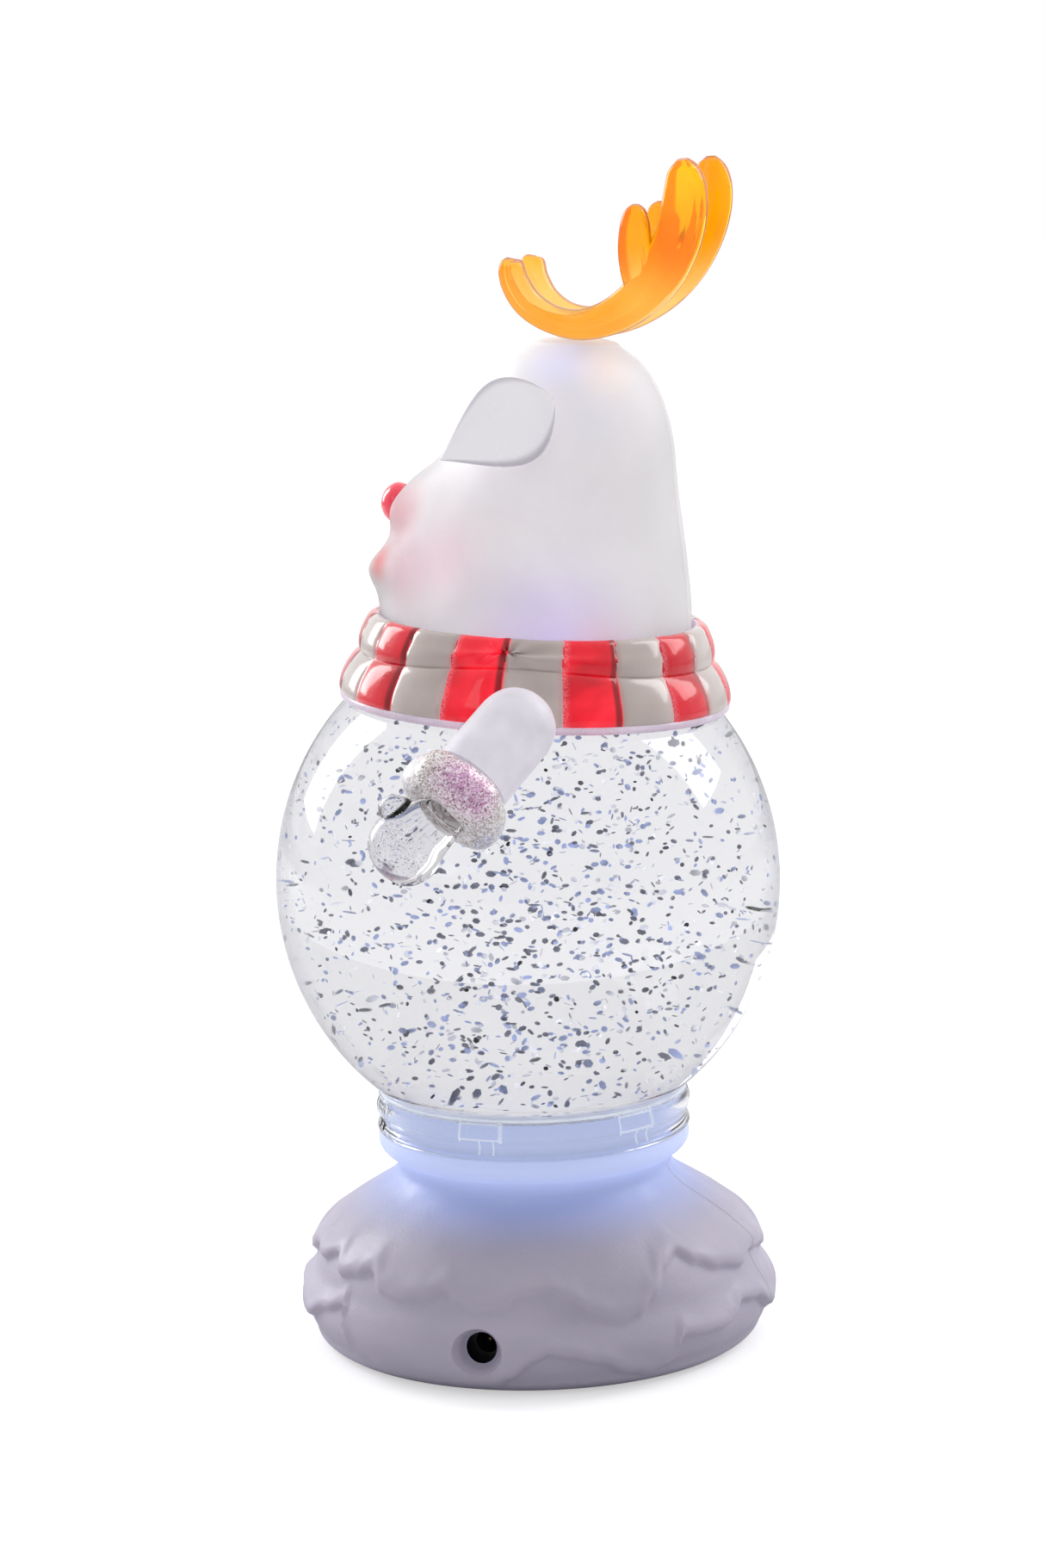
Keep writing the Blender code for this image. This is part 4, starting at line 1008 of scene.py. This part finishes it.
def build_ears(paints):
    """Leaf-shaped ears, dished on the outside, with a rounded rim."""
    length, wide_half, steps, sides = 27.0, 9.8, 44, 56
    for label, side in SIDES:
        rows = []
        rims = []
        for i in range(steps + 1):
            part = 0.5 - 0.5 * math.cos(math.pi * i / steps)
            along = -length * (1.0 - part)
            if i in (0, steps):
                rows.append([(0.0, along, 0.0)])
                rims.append(1.0)
                continue
            half = wide_half * math.sin(math.pi * part ** 1.5) ** 0.72
            ends = min(1.0, math.sin(math.pi * part) * 1.9) ** 0.6
            row = []
            for k in range(sides):
                turn = 2.0 * math.pi * k / sides
                wide = math.copysign(abs(math.sin(turn)) ** 0.8, math.sin(turn))
                thick = 1.75 * ends * math.copysign(abs(math.cos(turn)) ** 0.7, math.cos(turn))
                if thick * side > 0.0:
                    thick *= 1.0 - 0.55 * (1.0 - abs(wide) ** 3) * ends
                row.append((thick, along, half * wide))
                rims.append(max(abs(wide), 1.0 - ends * 0.9))
            rows.append(row)
        place = (FIGURE @ shifted(mirrored(EAR_ROOT, side)) @ turned(3.0 * side, "Z")
                 @ turned(-20.0 * side, "Y") @ turned(33.0, "X"))
        ear = build(f"ear_leaf_{label}", skin(rows), (paints["ear"],), "globe", f"ear_{label}", place)
        # The rim value marks where the ear paint lays its painted edge shade.
        ear.data.attributes.new("rim", "FLOAT", "POINT").data.foreach_set("value", rims)


def build_nose(paints):
    """A glossy button set into the snout."""
    line = smooth_line(((0.0, 3.5), (1.6, 3.3), (3.2, 2.4), (4.3, 0.9), (4.5, -0.3), (4.2, -1.4)), 6)
    build("nose_button", lathe(line + [(0.0, -1.4)], 64), (paints["nose"],), "globe", "nose",
          FIGURE @ shifted(NOSE_SEAT) @ turned(90.0, "X"))


ANTLER_BEAM = ((-6.4, 134.6, 0.6), (-6.4, 133.6, 2.4), (-5.6, 129.6, 3.0), (-2.6, 125.2, 3.1),
               (2.6, 122.2, 3.0), (9.0, 121.5, 3.3), (16.0, 123.8, 3.9), (22.4, 128.6, 4.6),
               (27.2, 134.8, 5.0), (30.4, 142.4, 5.0), (31.4, 149.4, 4.7), (31.1, 154.6, 3.4),
               (30.8, 157.0, 1.2))
ANTLER_TINE = ((21.6, 129.0, 2.8), (21.2, 133.0, 3.6), (20.6, 138.0, 3.6), (20.6, 143.0, 3.1),
               (20.7, 146.0, 2.1), (20.7, 147.2, 0.8))


def antler_limb(line, side, thick):
    """A flattened limb with a groove along each face."""
    line = smooth_line(line, 8)
    path = [(side * (5.6 + 0.19 * (z - 118.0)), y, z) for y, z, half in line]
    halves = [(min(thick, half), half) for y, z, half in line]
    path = [path[0]] + path + [path[-1]]
    halves = [(0.0, 0.0)] + halves + [(0.0, 0.0)]

    def section(turn, part):
        square = 1.0 / (abs(math.cos(turn)) ** 2.8 + abs(math.sin(turn)) ** 2.8) ** (1.0 / 2.8)
        groove = bell((math.sin(turn) - 0.35) / 0.16) * abs(math.cos(turn))
        return square - 0.1 * groove * smoothstep(part, 0.04, 0.12)

    return tube(path, halves, 48, (1.0, 0.0, 0.0), section)


def build_antlers(paints):
    """Amber antlers: prong, beam and tine moulded as one."""
    for label, side in SIDES:
        made = build(f"antler_branch_{label}", antler_limb(ANTLER_BEAM, side, 2.6), (paints["amber"],),
                     "globe", f"antler_{label}", FIGURE)
        carve(made, f"tine_tool_{label}", antler_limb(ANTLER_TINE, side, 2.3), FIGURE, "UNION")
        bake(made)


SCARF_ROOM = 0.4               # mm between a sleeve's root and the scarf
SHOULDER = (50.0, 9.8, 42.2)
CUFF = (62.8, 1.2, 28.8)
PALM = ((67.4, -4.2, 22.4), (68.2, -7.4, 19.0), (68.6, -10.8, 15.8), (68.6, -12.4, 14.2))
THUMB = ((67.0, -4.2, 24.2, 0.8), (67.3, -5.2, 24.7, 2.2), (67.9, -7.8, 25.8, 3.2),
         (68.3, -10.4, 26.9, 3.0), (68.5, -12.2, 27.6, 1.9), (68.6, -12.9, 27.9, 0.5))


def capped(line):
    """Path points and half sizes of a limb, with both ends brought to a point."""
    points = [row[:3] for row in line]
    halves = [(row[3], row[-1]) for row in line]
    return [points[0]] + points + [points[-1]], [(0.0, 0.0)] + halves + [(0.0, 0.0)]


def build_arms(paints):
    """Frosted sleeves, glitter cuffs and clear mitten hands."""
    for label, side in SIDES:
        shoulder = mirrored(SHOULDER, side)
        cuff = mirrored(CUFF, side)
        along = (cuff - shoulder).normalized()
        end = (cuff - shoulder).length - 5.4
        marks = ((-8.0, 0.5), (-7.7, 2.4), (-6.6, 4.8), (-4.4, 7.0), (-1.0, 8.2), (4.0, 8.4), (end, 8.5))
        path, halves = capped([(*(shoulder + along * mark), half) for mark, half in smooth_line(marks, 6)])
        sleeve = build(f"sleeve_tube_{label}", tube(path, halves, 64, (0.0, 0.0, 1.0)),
                       (paints["sleeve"],), "globe", f"sleeve_{label}", FIGURE)
        outline = [(0.0, 58.0)] + [(r + SCARF_ROOM, z) for r, z in SCARF_OUTLINE] + [(0.0, 37.4)]
        carve(sleeve, f"sleeve_tool_{label}", lathe(outline, 180), FIGURE, "DIFFERENCE")
        bake(sleeve)
        build_cuff(paints, label, cuff, along)
        build_hand(paints, label, side, cuff, along)


def build_cuff(paints, label, cuff, along):
    """A puffy ring with shallow dents, coated in glitter."""
    ring = [(4.4, 3.6), (4.6, 4.4), (6.0, 4.9), (8.2, 4.9), (10.2, 3.9), (11.4, 2.0), (11.7, 0.0),
            (11.4, -2.0), (10.2, -3.9), (8.2, -4.9), (6.0, -4.9), (4.6, -4.4), (4.4, -3.6)]
    line = smooth_line(ring, 4)

    def shape(k, radius, turn, height):
        swell = 0.35 * math.sin(5.0 * turn + 0.8) + 0.2 * math.sin(9.0 * turn)
        return radius + swell * smoothstep(radius, 7.0, 11.0), height * (1.0 + 0.04 * math.sin(4.0 * turn))

    place = FIGURE @ shifted(cuff) @ along.to_track_quat("Z", "Y").to_matrix().to_4x4()
    build(f"cuff_ring_{label}", lathe(line, 96, shape), (paints["cuff"],), "globe", f"cuff_{label}", place)


def build_hand(paints, label, side, cuff, along):
    """A clear solid mitten: palm, thumb and a stub that enters the cuff."""
    stub = [cuff - along, cuff + along * 3.0, cuff + along * 5.4]
    path = stub + [mirrored(point, side) for point in PALM]
    sizes = ((3.3, 3.3), (3.8, 3.8), (5.4, 5.2), (6.8, 6.0), (8.0, 6.4), (6.2, 4.9), (1.6, 1.3))
    points, halves = capped(smooth_line([(*p, *size) for p, size in zip(path, sizes)], 8))
    made = build(f"hand_mitten_{label}", tube(points, halves, 48, (0.2 * side, 0.6, -0.77)),
                 (paints["hand"],), "globe", f"hand_{label}", FIGURE)
    points, halves = capped(smooth_line([(*mirrored(row[:3], side), row[3]) for row in THUMB], 6))
    carve(made, f"thumb_tool_{label}", tube(points, halves, 40, (0.0, 0.0, 1.0)), FIGURE, "UNION")
    bake(made)


# ---------------------------------------------------------------- carried-over pieces

def numbered(stem, count):
    """Names of repeated nodes."""
    return tuple(f"{stem}_{i + 1}" for i in range(count))


CARRIED = {
    "cover": ("bottom_cover", "battery_box", "battery_door", "motor_bracket"),
    "rubber": numbered("rubber_foot", 4) + ("plug_seal",),
    "steel": numbered("cover_screw", 3) + numbered("battery_spring", 3)
    + ("door_screw", "contact_plate_front", "contact_plate_rear", "motor_can", "motor_shaft"),
    "brass": ("jack_pin",),
    "black": ("switch_body", "switch_knob", "dc_jack"),
    "board": ("control_board", "led_board"),
    "snow": ("light_tray",),
    "lens": numbered("led", 4),
    "collar": ("light_window",),
    "cell": numbered("battery_cell", 3),
    "magnet": ("impeller_magnet", "magnet_carrier"),
    "lead": ("motor_lead",),
    "stirred": ("globe_plug", "impeller_cage"),
    "frosted": ("impeller",),
}
ROUNDED = CARRIED["cover"] + CARRIED["black"] + CARRIED["cell"] + ("control_board", "motor_can")


def finish_carried(paints):
    """Give the CAD pieces that stay their materials and soften their edges."""
    for key, names in CARRIED.items():
        for name in names:
            for slot in NODES[name].material_slots:
                slot.material = paints[key].material
    for name in ROUNDED:
        edge = NODES[name].modifiers.new("edge", "BEVEL")
        edge.width = 0.00018
        edge.segments = 2
        edge.limit_method = "ANGLE"
        edge.angle_limit = math.radians(40.0)


# ---------------------------------------------------------------- studio

EYE_AZIMUTH = 106.0            # degrees from straight ahead of the figure, to its left
EYE_REACH = 0.85
EYE_HEIGHT = 0.268
EYE_YAW = 0.047
EYE_PITCH = 9.7
EYE_ROLL = -1.4
LENS = 91.02
FLOOR_Z = -0.05                # mm
FLOOR_GREY = (0.7, 0.7, 0.71)
LIGHT_TARGET = (0.0, 0.0, 0.12)
LIGHTS = (                     # name, place, size in metres, watts
    ("key", (-0.5, 0.75, 0.75), (0.5, 0.7), 4.0),
    ("fill", (-0.35, -0.95, 0.55), (0.4, 0.7), 5.0),
    ("front", (1.2, -0.35, 0.9), (0.4, 0.4), 0.6),
)


def add_camera():
    """The main viewpoint, beside the figure and a little above it."""
    azimuth = math.radians(EYE_AZIMUTH)
    level = Vector((-math.sin(azimuth), math.cos(azimuth), 0.0))
    aside = Vector((math.cos(azimuth), math.sin(azimuth), 0.0))
    yaw = math.radians(EYE_YAW)
    forward = level * math.cos(yaw) - aside * math.sin(yaw)
    right = forward.cross(Vector((0.0, 0.0, 1.0)))
    pitch = math.radians(EYE_PITCH)
    forward = forward * math.cos(pitch) - Vector((0.0, 0.0, 1.0)) * math.sin(pitch)
    up = right.cross(forward)
    data = bpy.data.cameras.new("camera")
    data.lens = LENS
    data.sensor_width = 36.0
    data.clip_end = 20.0
    camera = add_object("camera", data)
    turn = Matrix((right, up, -forward)).transposed().to_4x4()
    spot = Matrix.Translation((EYE_REACH * math.sin(azimuth), -EYE_REACH * math.cos(azimuth), EYE_HEIGHT))
    camera.matrix_world = spot @ turn @ turned(EYE_ROLL, "Z")
    bpy.context.scene.camera = camera


def add_world():
    """A plain white studio to the eye. Through clear plastic it is a backdrop that dims towards its
    edges, and in reflections it is a room, brightest above and behind the lamp."""
    world = bpy.data.worlds.new("studio")
    bpy.context.scene.world = world
    world.use_nodes = True
    tree = world.node_tree
    back = tree.nodes["Background"]
    back.inputs["Color"].default_value = (1.0, 1.0, 1.0, 1.0)
    place = tree.nodes.new("ShaderNodeTexCoord")
    path = tree.nodes.new("ShaderNodeLightPath")

    def sweep(direction, limits):
        lean = tree.nodes.new("ShaderNodeVectorMath")
        lean.operation = "DOT_PRODUCT"
        lean.inputs[1].default_value = direction
        tree.links.new(place.outputs["Generated"], lean.inputs[0])
        spread = tree.nodes.new("ShaderNodeMapRange")
        for socket, value in zip(("From Min", "From Max", "To Min", "To Max"), limits):
            spread.inputs[socket].default_value = value
        tree.links.new(lean.outputs["Value"], spread.inputs["Value"])
        return spread.outputs["Result"]

    def pick(factor, first, second):
        choice = tree.nodes.new("ShaderNodeMix")
        tree.links.new(factor, choice.inputs[0])
        tree.links.new(first, choice.inputs[2])
        if isinstance(second, float):
            choice.inputs[3].default_value = second
        else:
            tree.links.new(second, choice.inputs[3])
        return choice.outputs[0]

    room = sweep((-0.78, -0.22, 0.58), (-1.0, 1.0, 0.12, 1.15))
    backdrop = sweep((-0.96, -0.28, 0.0), (-0.1, 0.6, 0.72, 1.0))
    lit = pick(path.outputs["Is Transmission Ray"], room, backdrop)
    tree.links.new(pick(path.outputs["Is Camera Ray"], lit, 1.0), back.inputs["Strength"])


def add_floor():
    """A pale floor that runs out of the picture; through plastic it glows as the backdrop does."""
    turns = [2.0 * math.pi * i / 64 for i in range(64)]
    rows = [[(0.0, 0.0, FLOOR_Z)]]
    for radius in (300.0, 1200.0, 6000.0):
        rows.append([(radius * math.cos(turn), radius * math.sin(turn), FLOOR_Z) for turn in turns])
    points, faces = skin(rows)
    mesh = bpy.data.meshes.new("floor")
    mesh.from_pydata([Vector(point) * MM for point in points], [], faces)
    paint = Paint("floor", FLOOR_GREY, 0.8)
    path = paint.node("ShaderNodeLightPath")
    through = path.outputs["Is Transmission Ray"]
    paint.colour(paint.mix(through, FLOOR_GREY, (0.0, 0.0, 0.0)))
    fade = paint.spread(paint.axis("X"), 0.2, -0.25, 0.78, 1.0)
    seen = paint.times(path.outputs["Is Camera Ray"], 0.5)
    paint.glow(paint.maths("ADD", seen, paint.times(through, fade)), (1.0, 1.0, 1.0))
    mesh.materials.append(paint.material)
    floor = add_object("floor", mesh)


def add_light(name, place, size, power):
    """A soft rectangular studio light."""
    data = bpy.data.lights.new(name, "AREA")
    data.shape = "RECTANGLE"
    data.size, data.size_y = size
    data.energy = power
    lamp = add_object(name, data)
    lamp.location = place
    lamp.rotation_euler = (Vector(LIGHT_TARGET) - Vector(place)).to_track_quat("-Z", "Y").to_euler()


def add_studio():
    """Camera, world, floor and lights."""
    bpy.context.scene.view_settings.view_transform = "Standard"
    add_camera()
    add_world()
    add_floor()
    for light in LIGHTS:
        add_light(*light)


paints = all_paints()
build_base(paints)
build_globe(paints)
build_flakes(paints)
build_collar(paints)
build_scarf(paints)
build_head(paints)
build_ears(paints)
build_nose(paints)
build_antlers(paints)
build_arms(paints)
finish_carried(paints)
add_studio()
